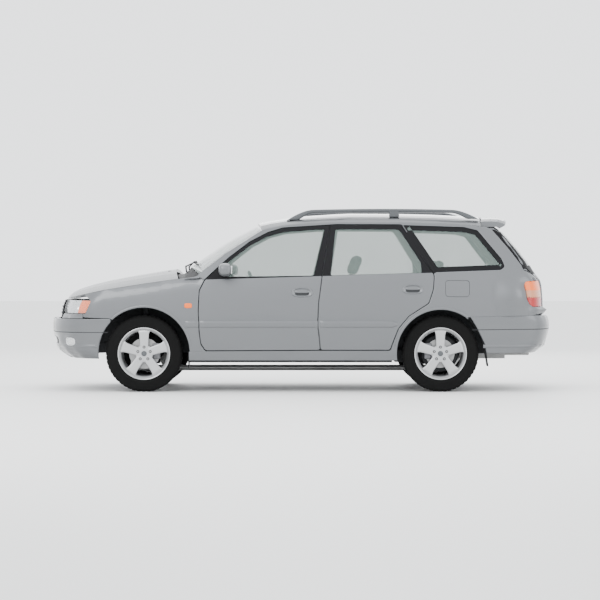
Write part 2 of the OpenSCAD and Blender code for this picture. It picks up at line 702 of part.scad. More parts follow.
sheet = 12;
floor_z = 285;
seat_floor_z = 400;
load_floor_z = 600;
load_back_x = 2080;
heel_x = 800;
kick_x = 1180;
bulkhead_x = -960;
floor_half = section_w(277) - wall_thickness - 3.5 - fit;
housing_in = 565;
tunnel_half = 120;
tunnel_top = 395;
spare_x = 1700;
spare_radius = 290;
rear_half = floor_half - 46.5;

// A box given in drawn coordinates, so that it follows the chosen sizes.
module panel(low, high) { box(place(low), place(high)); }

// Shell over a wheel: a half barrel from y1 in to a flat end at y0.
module wheel_housing(x, radius, y0, y1, cut_z) {
    length = y1 - y0;
    translate([sx(x), -y0 - spread, tyre_radius]) rotate([90, 0, 0]) difference() {
        cylinder(r = radius + sheet, h = length, $fn = 64);
        translate([0, 0, sheet]) cylinder(r = radius, h = length, $fn = 64);
        translate([-1000, cut_z - tyre_radius - 2000, -1]) cube([2000, 2000, length + 2]);
    }
}

module floor_pan() {
    color(dark_grey) difference() {
        union() {
            panel([bulkhead_x, -floor_half, floor_z - 30], [heel_x + sheet, floor_half, floor_z]);
            panel([bulkhead_x, -tunnel_half, floor_z - 30], [heel_x, tunnel_half, tunnel_top]);
            // Step up to the rear seat and the load floor
            panel([heel_x, -floor_half, floor_z - 30], [heel_x + sheet, floor_half, seat_floor_z]);
            panel([heel_x, -housing_in, seat_floor_z - sheet], [kick_x, housing_in, seat_floor_z]);
            panel([kick_x - sheet, -housing_in, seat_floor_z - sheet],
                [kick_x, housing_in, load_floor_z]);
            panel([kick_x - sheet, -housing_in - 1, load_floor_z - sheet],
                [load_back_x, housing_in + 1, load_floor_z]);
            both_sides() {
                panel([1600, -rear_half, load_floor_z - sheet],
                    [load_back_x, -housing_in, load_floor_z]);
                panel([1640, -rear_half, load_floor_z - sheet],
                    [load_back_x, -rear_half + sheet, 650]);
                // Rear rails under the load floor
                panel([1600, -470, 480], [load_back_x + 60, -410, load_floor_z - sheet]);
                wheel_housing(rear_axle_x, rear_arch_radius + 2, housing_in, rear_half + 26,
                    seat_floor_z - sheet);
            }
            panel([load_back_x - sheet, -rear_half, load_floor_z - sheet],
                [load_back_x, rear_half, 668]);
            translate([sx(spare_x), 0, 320])
                cylinder(r = spare_radius, h = load_floor_z - 320 - 1);
        }
        panel([bulkhead_x - 10, -tunnel_half + sheet, floor_z - 60],
            [heel_x - sheet, tunnel_half - sheet, tunnel_top - sheet]);
        translate([sx(spare_x), 0, 320 + sheet])
            cylinder(r = spare_radius - sheet, h = load_floor_z);
    }
}

rail_in = 345;
rail_out = 385;
wing_wall = [362, 374];
crossmember_top = 330;

module engine_bay() {
    color(dark_grey) meshed() {
        panel([bulkhead_x - sheet, -floor_half, floor_z - 30],
            [bulkhead_x - fit, floor_half, 940]);
        both_sides() {
            panel([-2010, -rail_out, crossmember_top], [bulkhead_x - sheet, -rail_in, 420]);
            panel([-1912, -wing_wall[1], 420], [bulkhead_x - sheet, -wing_wall[0], 812]);
            wheel_housing(front_axle_x, front_arch_radius + 2, wing_wall[1] - sheet, 770, 620);
            side_skin([-1800, -1600, -1368, -1130, -974], fender_thickness + 4, 470, [800, 812]);
            // Posts that the bonnet's hinges stand on
            panel([-1096, -640, 810], [-1078, -600, bonnet_post_top]);
            // Bumper brackets
            panel([-2010, -rail_out, 420], [-1998, -rail_in, 560]);
            panel([bumper_bracket_x, -372, 545], [-1998, -352, 560]);
        }
        panel([-1912, -620, 420], [-1900, 620, 790]);
        panel([grille_bracket_x, -40, 690], [-1900, 40, 700]);
    }
}

bonnet_post_top = 993.7;
bumper_bracket_x = -2163.7;
grille_bracket_x = -2090.6;

column_tilt = 65;
steering_centre = [-400, 370, 890];
hub_back = 14;

module at_steering() {
    translate([sx(steering_centre.x), steering_centre.y, steering_centre.z])
        rotate([0, column_tilt, 0]) children();
}

module dashboard() {
    color(dark_grey) {
        across(-676 - spread, 676 + spread)
            polygon(place2([[bulkhead_x, 640], [bulkhead_x, 930], [-880, 985], [-860, 1010],
                [-700, 1018], [-575, 985], [-552, 900], [-600, 760], [-650, 640]]));
        // Centre console down to the tunnel
        panel([-700, -tunnel_half, tunnel_top + fit], [-560, tunnel_half, 760]);
        at_steering() translate([0, 0, -210]) cylinder(r = 30, h = 210 - hub_back - fit);
    }
}

module steering_wheel() {
    grip = 14;
    color(black) at_steering() {
        rotate_extrude() translate([steering_wheel_radius - grip, 0]) circle(r = grip, $fn = 24);
        translate([0, 0, -hub_back]) cylinder(r = 62, h = 34);
        for (a = [0, 90, 180]) rotate(a + 90) translate([50, -18, -8])
            cube([steering_wheel_radius - 60 - grip, 36, 12]);
    }
}

// A padded block: four rounded corners joined into one closed solid.
module pad(length, width, thickness) {
    r = thickness / 2;
    hull() for (x = [r, length - r], y = [-1, 1])
        translate([x, y * (width / 2 - r), 0]) sphere(r = r, $fn = 12);
}

seat_cushion_z = 470;
seat_back_angle = 22;

module seat(width, cushion, back, base_z) {
    translate([-cushion, 0, 0]) rotate([0, 4, 0]) pad(cushion, width, 120);
    translate([-40, 0, -10]) rotate([0, -90 + seat_back_angle, 0]) {
        pad(back, width - 20, 110);
        translate([back + 20, 0, 0]) pad(170, 250, 90);
        for (y = [-60, 60]) translate([back - 40, y, 0]) rotate([0, 90, 0])
            cylinder(r = 7, h = 100, $fn = 24);
    }
    // Frame that stands on the floor
    for (y = [-1, 1]) translate([-cushion + 60, y * (width / 2 - 70) - 15, base_z])
        cube([cushion - 120, 30, -base_z - 30]);
}

front_seat_x = 270;
front_seat_y = 370;

module front_seats() {
    color("#6d7072") for (side = [-1, 1])
        translate([sx(front_seat_x), side * front_seat_y, seat_cushion_z])
            seat(seat_width, 500, 600, floor_z + fit - seat_cushion_z);
}

module rear_seat() {
    color("#6d7072") translate([sx(kick_x - 112), 0, 0]) {
        translate([-440, 0, seat_floor_z + 75]) {
            pad(440, 1100, 130);
            translate([0, -490, -75 + fit]) cube([400, 980, 60]);
        }
        translate([-30, 0, seat_floor_z + 70]) rotate([0, -90 + 18, 0]) {
            pad(560, 1100, 110);
            for (y = [-360, 360]) translate([575, y, 0]) pad(140, 240, 80);
            for (y = [-360, 360]) translate([520, y, 0]) rotate([0, 90, 0])
                cylinder(r = 30, h = 100, $fn = 24);
        }
    }
}

module engine_block() {
    color(trim_grey) panel([-1896, -300, crossmember_top + fit], [-1356, 300, 860]);
}

kingpin_in = 20;
kingpin_y = half_track - kingpin_in;
arm_low_z = 230;
arm_high_z = 470;

arm_thickness = 26;

module arm(y_in, z) {
    hull() {
        for (x = [-50, 50]) translate([x, -y_in, z]) cylinder(r = 16, h = arm_thickness, $fn = 24);
        translate([0, -kingpin_y, z]) cylinder(r = 28, h = arm_thickness, $fn = 24);
    }
}

module front_suspension() {
    color(dark_grey) {
        panel([front_axle_x - 70, -rail_out, 270],
            [front_axle_x + 70, rail_out, crossmember_top - fit]);
        both_sides() {
            panel([front_axle_x - 70, -rail_out, arm_low_z - arm_thickness],
                [front_axle_x + 70, -rail_in, 275]);
            translate([sx(front_axle_x), -spread, 0]) {
                arm(rail_out - 20, arm_low_z - arm_thickness);
                arm(wing_wall[1] + 16 + fit, arm_high_z);
                // Damper from the lower arm to the wheel housing
                translate([0, -530, arm_low_z - 5]) cylinder(r = 24,
                    h = tyre_radius + front_arch_radius + 2 - arm_low_z + 5 - fit - 1);
            }
        }
    }
}

// Upright that turns about the kingpin, with the stub axle that carries the wheel.
module knuckle() {
    color(dark_grey) translate([sx(front_axle_x), -half_track - spread, 0]) {
        translate([0, kingpin_in, arm_low_z + fit])
            cylinder(r = 26, h = arm_high_z - arm_low_z - 2 * fit);
        translate([-34, 0, tyre_radius - 60]) cube([68, kingpin_in + 24, 120]);
        translate([0, 0, tyre_radius]) rotate([90, 0, 0])
            cylinder(r = stub_radius - fit, h = 76);
    }
}
module knuckle_left() { knuckle(); }
module knuckle_right() { mirror([0, 1, 0]) knuckle(); }

module rear_axle() {
    color(dark_grey) translate([sx(rear_axle_x), 0, tyre_radius]) {
        rotate([90, 0, 0]) cylinder(r = stub_radius - fit,
            h = 2 * (half_track + spread) + 152, center = true);
        rotate([90, 0, 0]) cylinder(r = 44, h = 2 * (600 + spread), center = true);
        // Trailing arms to the step in the floor
        for (y = [-440, 440]) translate([heel_x + sheet + fit - rear_axle_x, y - 22, -35])
            cube([rear_axle_x - heel_x - sheet, 44, 56]);
        for (y = [-440, 440]) translate([60, y, -20])
            cylinder(r = 24, h = load_floor_z - sheet - fit - tyre_radius + 20);
    }
}

pipe_radius = 26;
pipe_y = 205;
pipe_z = 172;

// A straight stretch of pipe that runs on past b by the given length.
module pipe(a, b, past) {
    v = b - a;
    translate(a) rotate([0, acos(v.z / norm(v)), atan2(v.y, v.x)])
        cylinder(r = pipe_radius, h = norm(v) + past);
}

module exhaust() {
    route = [[-1530, pipe_y, crossmember_top], [-1530, pipe_y, pipe_z], [1380, pipe_y, pipe_z],
        [1500, 460, 303], [2130, 460, 303]];
    color(trim_grey) {
        for (i = [0:len(route) - 2])
            pipe(place(route[i]), place(route[i + 1]), i == 3 ? 0 : 12);
        panel([1480, 365, 250], [1900, 555, 380]);
    }
}

module fuel_tank() {
    color(black) panel([850, -360, 245], [1140, 360, seat_floor_z - sheet - fit]);
}

// ---- Wheels ----------------------------------------------------------------

module tyre() {
    w = tyre_width / 2;
    bead = rim_radius - 14 + fit;
    color(black) rotate_extrude($fn = 96) difference() {
        polygon([[bead, -w + 16], [rim_radius + 1, -w + 12], [rim_radius + 4, -w + 4], [rim_radius + 45, -w],
            [tyre_radius - 40, -w + 4], [tyre_radius - 12, -w + 18], [tyre_radius, -w + 38],
            [tyre_radius, w - 38], [tyre_radius - 12, w - 18], [tyre_radius - 40, w - 4],
            [rim_radius + 45, w], [rim_radius + 4, w - 4], [rim_radius + 1, w - 12], [bead, w - 16]]);
        translate([bead - 1, -w + 26]) square([tyre_radius - bead - 16, tyre_width - 52]);
    }
}

module rim() {
    w = tyre_width / 2;
    well = rim_radius - 26;
    color(alloy) {
        rotate_extrude($fn = 96) polygon([[rim_radius, -w + 3], [rim_radius, -w + 10],
            [rim_radius - 14, -w + 14], [rim_radius - 14, -40], [well, -24], [well, 40],
            [rim_radius - 14, 56], [rim_radius - 14, w - 14], [rim_radius, w - 10],
            [rim_radius, w - 3], [rim_radius - 20, w - 6], [rim_radius - 21, 58],
            [well - 8, 44], [well - 8, -26], [rim_radius - 21, -44], [rim_radius - 21, -w + 6]]);
        difference() {
            translate([0, 0, -w + 22]) cylinder(r = 78, h = 40);
            translate([0, 0, -w]) cylinder(r = stub_radius, h = 80);
        }
        for (i = [0:spoke_count - 1])
            rotate(90 + i * 360 / spoke_count) translate([60, -32, -w + 24])
                cube([rim_radius - 78, 64, 26]);
    }
}

module set_wheel(x, side) {
    translate([sx(x), side * (half_track + spread), tyre_radius])
        rotate([side < 0 ? -90 : 90, 0, 0]) children();
}
module wheel_front_left() { set_wheel(front_axle_x, -1) rim(); }
module wheel_front_right() { set_wheel(front_axle_x, 1) rim(); }
module wheel_rear_left() { set_wheel(rear_axle_x, -1) rim(); }
module wheel_rear_right() { set_wheel(rear_axle_x, 1) rim(); }
module tyre_front_left() { set_wheel(front_axle_x, -1) tyre(); }
module tyre_front_right() { set_wheel(front_axle_x, 1) tyre(); }
module tyre_rear_left() { set_wheel(rear_axle_x, -1) tyre(); }
module tyre_rear_right() { set_wheel(rear_axle_x, 1) tyre(); }

floor_pan();
engine_bay();
body_side_left();
body_side_right();
roof_panel();
front_fenders();
front_bumper();
grille_panel();
rear_bumper();
windscreen();
cowl_panel();
quarter_windows();
headlights();
tail_lights();
roof_rails();
mud_flaps();
wipers();
dashboard();
front_seats();
rear_seat();
engine_block();
front_suspension();
exhaust();
fuel_tank();
rear_axle();
bonnet();
tailgate();
tailgate_glass();
rear_spoiler();
rear_wiper();
front_door_left();
front_door_right();
rear_door_left();
rear_door_right();
front_door_glass_left();
front_door_glass_right();
rear_door_glass_left();
rear_door_glass_right();
door_mirror_left();
door_mirror_right();
fuel_flap();
knuckle_left();
knuckle_right();
steering_wheel();
wheel_front_left();
wheel_front_right();
wheel_rear_left();
wheel_rear_right();
tyre_front_left();
tyre_front_right();
tyre_rear_left();
tyre_rear_right();
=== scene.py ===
import json
import logging
import math
from dataclasses import dataclass
from enum import Enum
from typing import Callable, Iterable, Optional, Sequence

import bpy
import numpy as np
from mathutils import Matrix, Vector
from mathutils.bvhtree import BVHTree
from mathutils.geometry import delaunay_2d_cdt

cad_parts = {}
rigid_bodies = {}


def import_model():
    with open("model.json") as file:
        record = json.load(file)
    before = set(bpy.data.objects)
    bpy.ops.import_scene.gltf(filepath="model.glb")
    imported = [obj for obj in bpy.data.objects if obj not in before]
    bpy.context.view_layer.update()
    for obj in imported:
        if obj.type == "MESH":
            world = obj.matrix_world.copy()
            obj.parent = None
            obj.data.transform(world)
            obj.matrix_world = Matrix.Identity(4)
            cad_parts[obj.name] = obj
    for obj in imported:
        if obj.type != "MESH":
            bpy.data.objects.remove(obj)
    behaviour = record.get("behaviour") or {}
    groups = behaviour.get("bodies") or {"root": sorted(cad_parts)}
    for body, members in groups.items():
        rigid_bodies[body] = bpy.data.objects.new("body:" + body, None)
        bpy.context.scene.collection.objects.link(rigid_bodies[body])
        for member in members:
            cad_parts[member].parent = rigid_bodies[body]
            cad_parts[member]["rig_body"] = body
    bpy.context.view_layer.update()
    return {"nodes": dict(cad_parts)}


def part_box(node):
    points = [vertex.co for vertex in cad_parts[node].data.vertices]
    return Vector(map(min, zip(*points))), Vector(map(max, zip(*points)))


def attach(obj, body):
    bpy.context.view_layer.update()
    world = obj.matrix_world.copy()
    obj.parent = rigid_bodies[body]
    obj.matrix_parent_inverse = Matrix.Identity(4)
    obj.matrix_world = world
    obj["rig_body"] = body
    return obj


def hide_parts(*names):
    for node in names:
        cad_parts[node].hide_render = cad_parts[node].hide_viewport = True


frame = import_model()
log = logging.getLogger("wagon")


class Side(Enum):
    """Which side of the car a piece is on, as the sign of its Y."""

    LEFT = -1
    RIGHT = 1


class Look(Enum):
    """The pattern that a finish lays over its plain colour."""

    FLAKE = "flake"
    GRAIN = "grain"
    WEAVE = "weave"
    BRUSHED = "brushed"
    CLEAR = "clear"
    DUST = "dust"


# ---- Shader wrapper ---------------------------------------------------------


class Sock:
    """An output socket that adds maths nodes when it is used in a sum."""

    def __init__(self, net: "Net", socket: bpy.types.NodeSocket) -> None:
        """Keeps the socket and the network that it belongs to."""
        self.net = net
        self.socket = socket

    def _math(self, kind: str, a: object, b: object) -> "Sock":
        """Adds a Math node.

        Args:
            kind: The operation.
            a: The first value or socket.
            b: The second value or socket.

        Returns:
            The node's output.
        """
        return self.net.node("ShaderNodeMath", {"operation": kind}, {0: a, 1: b})

    def __add__(self, other: object) -> "Sock":
        """Returns the sum."""
        return self._math("ADD", self, other)

    def __radd__(self, other: object) -> "Sock":
        """Returns the sum."""
        return self._math("ADD", other, self)

    def __sub__(self, other: object) -> "Sock":
        """Returns the difference."""
        return self._math("SUBTRACT", self, other)

    def __rsub__(self, other: object) -> "Sock":
        """Returns the difference the other way round."""
        return self._math("SUBTRACT", other, self)

    def __mul__(self, other: object) -> "Sock":
        """Returns the product."""
        return self._math("MULTIPLY", self, other)

    def __rmul__(self, other: object) -> "Sock":
        """Returns the product."""
        return self._math("MULTIPLY", other, self)

    def above(self, level: float) -> "Sock":
        """Returns 1 where the value is above the level, else 0."""
        return self._math("GREATER_THAN", self, level)


class Net:
    """A material's node network."""

    def __init__(self, name: str) -> None:
        """Starts a material with only its output and a principled shader."""
        self.material = bpy.data.materials.new(name)
        self.material.use_nodes = True
        self.tree = self.material.node_tree
        self.tree.nodes.clear()
        self.output = self.tree.nodes.new("ShaderNodeOutputMaterial")
        self.shader = self.tree.nodes.new("ShaderNodeBsdfPrincipled")
        self.tree.links.new(self.shader.outputs[0], self.output.inputs[0])

    def node(self, kind: str, settings: dict, inputs: dict, output: object = 0) -> Sock:
        """Adds a node.

        Args:
            kind: The node's type name.
            settings: Attributes that are set first.
            inputs: Values or Socks by socket name or number.
            output: The wanted output's name or number.

        Returns:
            The wanted output.
        """
        made = self.tree.nodes.new(kind)
        for key, value in settings.items():
            setattr(made, key, value)
        for key, value in inputs.items():
            self.feed(made.inputs[key], value)
        return Sock(self, made.outputs[output])

    def feed(self, socket: bpy.types.NodeSocket, value: object) -> None:
        """Sets a socket, or links a Sock to it.

        Args:
            socket: The input socket.
            value: A constant or a Sock.
        """
        if isinstance(value, Sock):
            self.tree.links.new(value.socket, socket)
        elif isinstance(value, tuple) and len(value) == 3 and socket.type == "RGBA":
            socket.default_value = (*value, 1.0)
        else:
            socket.default_value = value

    def set(self, **values: object) -> None:
        """Sets or links the principled shader's inputs, with _ for a space."""
        for key, value in values.items():
            self.feed(self.shader.inputs[key.replace("_", " ")], value)

    def coords(self, kind: str = "Object") -> Sock:
        """Returns texture coordinates of the given kind."""
        return self.node("ShaderNodeTexCoord", {}, {}, kind)

    def noise(self, scale: float, detail: float = 2.0, stretch: tuple = (1, 1, 1)) -> Sock:
        """Returns noise of the given scale, stretched along the axes."""
        at = self.node("ShaderNodeVectorMath", {"operation": "MULTIPLY"},
                       {0: self.coords(), 1: stretch})
        return self.node("ShaderNodeTexNoise", {},
                         {"Vector": at, "Scale": scale, "Detail": detail})

    def blend(self, factor: object, a: tuple, b: tuple) -> Sock:
        """Returns a colour between a and b."""
        return self.node("ShaderNodeMix", {"data_type": "RGBA"},
                         {0: factor, 6: a, 7: b}, 2)

    def bump(self, height: Sock, strength: float, distance: float) -> Sock:
        """Returns a normal bent by the height."""
        return self.node("ShaderNodeBump", {},
                         {"Height": height, "Strength": strength, "Distance": distance})


@dataclass(frozen=True)
class Finish:
    """A procedural finish: a colour, its variation and how it shines."""

    name: str
    colour: tuple
    look: Look
    rough: float = 0.5
    metallic: float = 0.0
    coat: float = 0.0
    alpha: float = 1.0
    shift: float = 0.12
    slot: str = ""

    def build(self) -> bpy.types.Material:
        """Makes the material.

        Returns:
            The new material.
        """
        net = Net(self.name)
        broad = net.noise(3.0)
        dark = tuple(c * (1 - self.shift) for c in self.colour)
        light = tuple(min(1.0, c * (1 + self.shift)) for c in self.colour)
        net.set(Metallic=self.metallic, Coat_Weight=self.coat, Coat_Roughness=0.04)
        if self.coat == 0 and self.metallic == 0:
            net.set(Specular_IOR_Level=0.12)
        if self.look is Look.FLAKE:
            flake = net.noise(1800.0, 1.0)
            net.set(Base_Color=net.blend(flake, dark, light),
                    Roughness=self.rough + flake * 0.1)
        elif self.look is Look.GRAIN:
            grain = net.noise(420.0, 3.0)
            net.set(Base_Color=net.blend(broad, dark, light), Roughness=self.rough + grain * 0.15,
                    Normal=net.bump(grain, 0.12, 0.0006))
        elif self.look is Look.WEAVE:
            wave = {"wave_profile": "SIN", "bands_direction": "X"}
            up = net.node("ShaderNodeTexWave", wave, {"Vector": net.coords(), "Scale": 110.0}, 1)
            wave = {"wave_profile": "SIN", "bands_direction": "Z"}
            over = net.node("ShaderNodeTexWave", wave, {"Vector": net.coords(), "Scale": 110.0}, 1)
            cloth = up * over
            net.set(Base_Color=net.blend(cloth * 0.6 + broad * 0.4, dark, light),
                    Roughness=self.rough + broad * 0.1, Normal=net.bump(cloth, 0.35, 0.0012))
        elif self.look is Look.BRUSHED:
            lines = net.noise(90.0, 3.0, (1, 8, 1))
            net.set(Base_Color=net.blend(lines, dark, light), Roughness=self.rough + lines * 0.12)
        elif self.look is Look.DUST:
            dust = net.noise(26.0, 5.0)
            net.set(Base_Color=net.blend(dust, dark, light), Roughness=self.rough + dust * 0.2,
                    Normal=net.bump(net.noise(180.0, 3.0), 0.1, 0.001))
        else:
            net.set(Base_Color=net.blend(broad, dark, light), Roughness=self.rough + broad * 0.02)
        if self.alpha < 1.0:
            net.set(Alpha=self.alpha + broad * 0.04)
        return net.material


class Finishes:
    """Every finish of the car, built once."""

    paint = Finish("body_paint", (0.125, 0.13, 0.137), Look.FLAKE, 0.34, 0.75, 0.6, shift=0.07,
                   slot="body_paint")
    glass = Finish("window_glass", (0.16, 0.21, 0.19), Look.CLEAR, 0.03, 0.0, 0.5, 0.3,
                   slot="window_glass")
    black = Finish("black_trim", (0.012, 0.012, 0.013), Look.GRAIN, 0.42, slot="black_trim")
    gloss_black = Finish("frame_black", (0.005, 0.005, 0.006), Look.CLEAR, 0.5, 0.0, 0.0,
                         slot="black_trim")
    grey = Finish("grey_plastic", (0.085, 0.09, 0.095), Look.GRAIN, 0.45, slot="grey_plastic")
    rail = Finish("rail_grey", (0.06, 0.065, 0.07), Look.GRAIN, 0.38, 0.2, slot="grey_plastic")
    cabin = Finish("cabin_plastic", (0.045, 0.045, 0.045), Look.GRAIN, 0.6, slot="grey_plastic")
    rubber = Finish("tyre_rubber", (0.004, 0.004, 0.004), Look.DUST, 0.75, slot="tyre_rubber")
    alloy = Finish("wheel_alloy", (0.4, 0.405, 0.41), Look.FLAKE, 0.28, 0.75, 0.5, slot="wheel_alloy")
    chrome = Finish("chrome", (0.6, 0.61, 0.62), Look.BRUSHED, 0.12, 1.0, slot="wheel_alloy")
    clear = Finish("clear_lens", (0.6, 0.63, 0.63), Look.CLEAR, 0.04, 0.0, 0.5, 0.12,
                   slot="headlight_lens")
    amber = Finish("amber_lens", (0.8, 0.13, 0.0), Look.CLEAR, 0.25, 0.0, 0.25,
                   slot="headlight_lens")
    red = Finish("red_lens", (0.34, 0.002, 0.002), Look.CLEAR, 0.25, 0.0, 0.25,
                 slot="tail_light_lens")
    smoke = Finish("pale_lens", (0.5, 0.2, 0.1), Look.CLEAR, 0.25, 0.0, 0.25,
                   slot="tail_light_lens")
    cloth = Finish("seat_fabric", (0.02, 0.022, 0.023), Look.WEAVE, 0.85, slot="seat_fabric")
    plate = Finish("plate_white", (0.72, 0.72, 0.7), Look.CLEAR, 0.3, slot="body_paint")
    under = Finish("underbody", (0.035, 0.036, 0.038), Look.DUST, 0.75, slot="underbody")
    steel = Finish("bare_steel", (0.3, 0.3, 0.3), Look.BRUSHED, 0.38, 0.9, slot="bare_steel")
    cast = Finish("cast_metal", (0.2, 0.2, 0.21), Look.DUST, 0.55, 0.6, slot="cast_metal")

    def __init__(self) -> None:
        """Starts with no material made."""
        self._made: dict[str, bpy.types.Material] = {}

    def get(self, finish: Finish) -> bpy.types.Material:
        """Returns the finish's material, made on first use."""
        if finish.name not in self._made:
            self._made[finish.name] = finish.build()
        return self._made[finish.name]


FINISHES = Finishes()


# ---- Mesh helpers -----------------------------------------------------------


class Maker:
    """Turns points and faces into pieces that ride on the CAD bodies."""

    count = 0

    @classmethod
    def add(cls, name: str, points: Iterable, faces: Iterable, finish: Finish, body: str,
            smooth: float = 35.0) -> bpy.types.Object:
        """Makes a mesh piece.

        Args:
            name: The piece's name.
            points: Points in metres, in the row frame.
            faces: Lists of point numbers.
            finish: Its finish.
            body: The CAD body that it rides on.
            smooth: Edges sharper than this angle stay sharp.

        Returns:
            The new object.
        """
        mesh = bpy.data.meshes.new(name)
        mesh.from_pydata([tuple(p) for p in points], [], [tuple(int(i) for i in f) for f in faces])
        mesh.validate()
        mesh.materials.append(FINISHES.get(finish))
        obj = bpy.data.objects.new(name, mesh)
        bpy.context.scene.collection.objects.link(obj)
        if smooth > 0:
            mesh.polygons.foreach_set("use_smooth", [True] * len(mesh.polygons))
            mesh.set_sharp_from_angle(angle=math.radians(smooth))
        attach(obj, body)
        cls.count += 1
        return obj


def body_of(node: str) -> str:
    """Returns the body that a CAD node belongs to."""
    return frame["nodes"][node]["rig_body"]


@dataclass
class Lathe:
    """A solid of revolution about an axis that lies along Y."""

    centre: Vector
    side: int = -1
    segments: int = 96

    def build(self, name: str, profile: Sequence[tuple], finish: Finish, body: str,
              closed: bool = True, wobble: Optional[Callable] = None) -> bpy.types.Object:
        """Turns a profile.

        Args:
            name: The piece's name.
            profile: Pairs of radius and distance outward from the centre, in metres.
            finish: Its finish.
            body: The body that it rides on.
            closed: Whether the profile's ends join.
            wobble: Gives a change of radius from the turn and the pair's number.

        Returns:
            The new object.
        """
        n, m = self.segments, len(profile)
        points, faces = [], []
        for i in range(n):
            a = 2 * math.pi * i / n
            for j, (r, out) in enumerate(profile):
                r += wobble(i, j) if wobble else 0.0
                points.append((self.centre.x + r * math.cos(a), self.centre.y + self.side * out,
                               self.centre.z + r * math.sin(a)))
        for i in range(n):
            k = (i + 1) % n
            for j in range(m if closed else m - 1):
                q = (j + 1) % m
                face = (i * m + j, k * m + j, k * m + q, i * m + q)
                faces.append(face if self.side > 0 else face[::-1])
        return Maker.add(name, points, faces, finish, body)


@dataclass
class Block:
    """A box with softly rounded edges."""

    low: Vector
    high: Vector
    radius: float = 0.006

    def build(self, name: str, finish: Finish, body: str,
              turn: Optional[Matrix] = None) -> bpy.types.Object:
        """Makes the block.

        Args:
            name: The piece's name.
            finish: Its finish.
            body: The body that it rides on.
            turn: A matrix for the finished points.

        Returns:
            The new object.
        """
        low, high = Vector(self.low), Vector(self.high)
        mid, half = (low + high) / 2, (high - low) / 2
        r = min(self.radius, *(0.99 * h for h in half))
        steps = [-1.0, -0.8, -0.4, 0.0, 0.4, 0.8, 1.0]
        index: dict[tuple, int] = {}
        points: list[Vector] = []
        faces = []

        def place(unit: tuple) -> int:
            """Returns the number of the point at that place on the unit cube."""
            if unit not in index:
                core = Vector(max(-h + r, min(h - r, u * h)) for u, h in zip(unit, half))
                arm = Vector(u * h for u, h in zip(unit, half)) - core
                arm = arm.normalized() * r if arm.length > 1e-9 else arm
                index[unit] = len(points)
                points.append(mid + core + arm)
            return index[unit]

        for axis in range(3):
            for sign in (-1.0, 1.0):
                for i in range(6):
                    for j in range(6):
                        ring = []
                        for a, b in ((i, j), (i + 1, j), (i + 1, j + 1), (i, j + 1)):
                            unit = [0.0, 0.0, 0.0]
                            unit[axis] = sign
                            unit[(axis + 1) % 3] = steps[a]
                            unit[(axis + 2) % 3] = steps[b]
                            ring.append(place(tuple(unit)))
                        faces.append(ring if sign > 0 else ring[::-1])
        if turn is not None:
            points = [turn @ p for p in points]
        return Maker.add(name, points, faces, finish, body, 50.0)


@dataclass
class Tube:
    """A round or flattened bar swept along a path."""

    path: Sequence[Vector]
    radius: float
    flat: float = 1.0
    sides: int = 16

    def build(self, name: str, finish: Finish, body: str, loop: bool = False) -> bpy.types.Object:
        """Sweeps the bar.

        Args:
            name: The piece's name.
            finish: Its finish.
            body: The body that it rides on.
            loop: Whether the path closes on itself.

        Returns:
            The new object.
        """
        path = [Vector(p) for p in self.path]
        n, points, faces = len(path), [], []
        for i, p in enumerate(path):
            a = path[(i - 1) % n] if loop or i else p
            b = path[(i + 1) % n] if loop or i < n - 1 else p
            along = (b - a).normalized()
            across = along.cross(Vector((0, 0, 1)))
            across = across.normalized() if across.length > 1e-3 else Vector((0, 1, 0))
            up = across.cross(along).normalized()
            for j in range(self.sides):
                t = 2 * math.pi * j / self.sides
                points.append(p + across * (math.cos(t) * self.radius)
                              + up * (math.sin(t) * self.radius * self.flat))
        for i in range(n if loop else n - 1):
            k = (i + 1) % n
            for j in range(self.sides):
                q = (j + 1) % self.sides
                faces.append((i * self.sides + j, i * self.sides + q,
                              k * self.sides + q, k * self.sides + j))
        if not loop:
            faces.append(tuple(range(self.sides))[::-1])
            faces.append(tuple(range((n - 1) * self.sides, n * self.sides)))
        return Maker.add(name, points, faces, finish, body, 40.0)


# ---- Skins fitted over the CAD panels ---------------------------------------


class Chart:
    """Maps points to two surface coordinates and a height, and back."""

    def split(self, p: np.ndarray) -> np.ndarray:
        """Returns rows of (u, v, height) for rows of points."""
        raise NotImplementedError

    def join(self, q: np.ndarray) -> np.ndarray:
        """Returns rows of points for rows of (u, v, height)."""
        raise NotImplementedError

    def out(self, p: np.ndarray) -> np.ndarray:
        """Returns the outward direction at each point."""
        q = self.split(p)
        q[:, 2] += 0.001
        d = self.join(q) - p
        return d / np.linalg.norm(d, axis=1)[:, None]


@dataclass
class SideChart(Chart):
    """The side of the car, turning round the rear corner behind x0."""

    side: int
    x0: float = 99.0
    y0: float = 0.4
    reach: float = 0.42

    def split(self, p: np.ndarray) -> np.ndarray:
        """Returns rows of (u, v, height) for rows of points."""
        x, y, z = p[:, 0], p[:, 1] * self.side - self.y0, p[:, 2]
        past = x > self.x0
        angle = np.arctan2(x - self.x0, y)
        u = np.where(past, self.x0 + self.reach * angle, x)
        h = np.where(past, np.hypot(x - self.x0, y), y)
        return np.column_stack([u, z, h])

    def join(self, q: np.ndarray) -> np.ndarray:
        """Returns rows of points for rows of (u, v, height)."""
        u, z, h = q[:, 0], q[:, 1], q[:, 2]
        past = u > self.x0
        angle = (u - self.x0) / self.reach
        x = np.where(past, self.x0 + h * np.sin(angle), u)
        y = np.where(past, h * np.cos(angle), h) + self.y0
        return np.column_stack([x, y * self.side, z])


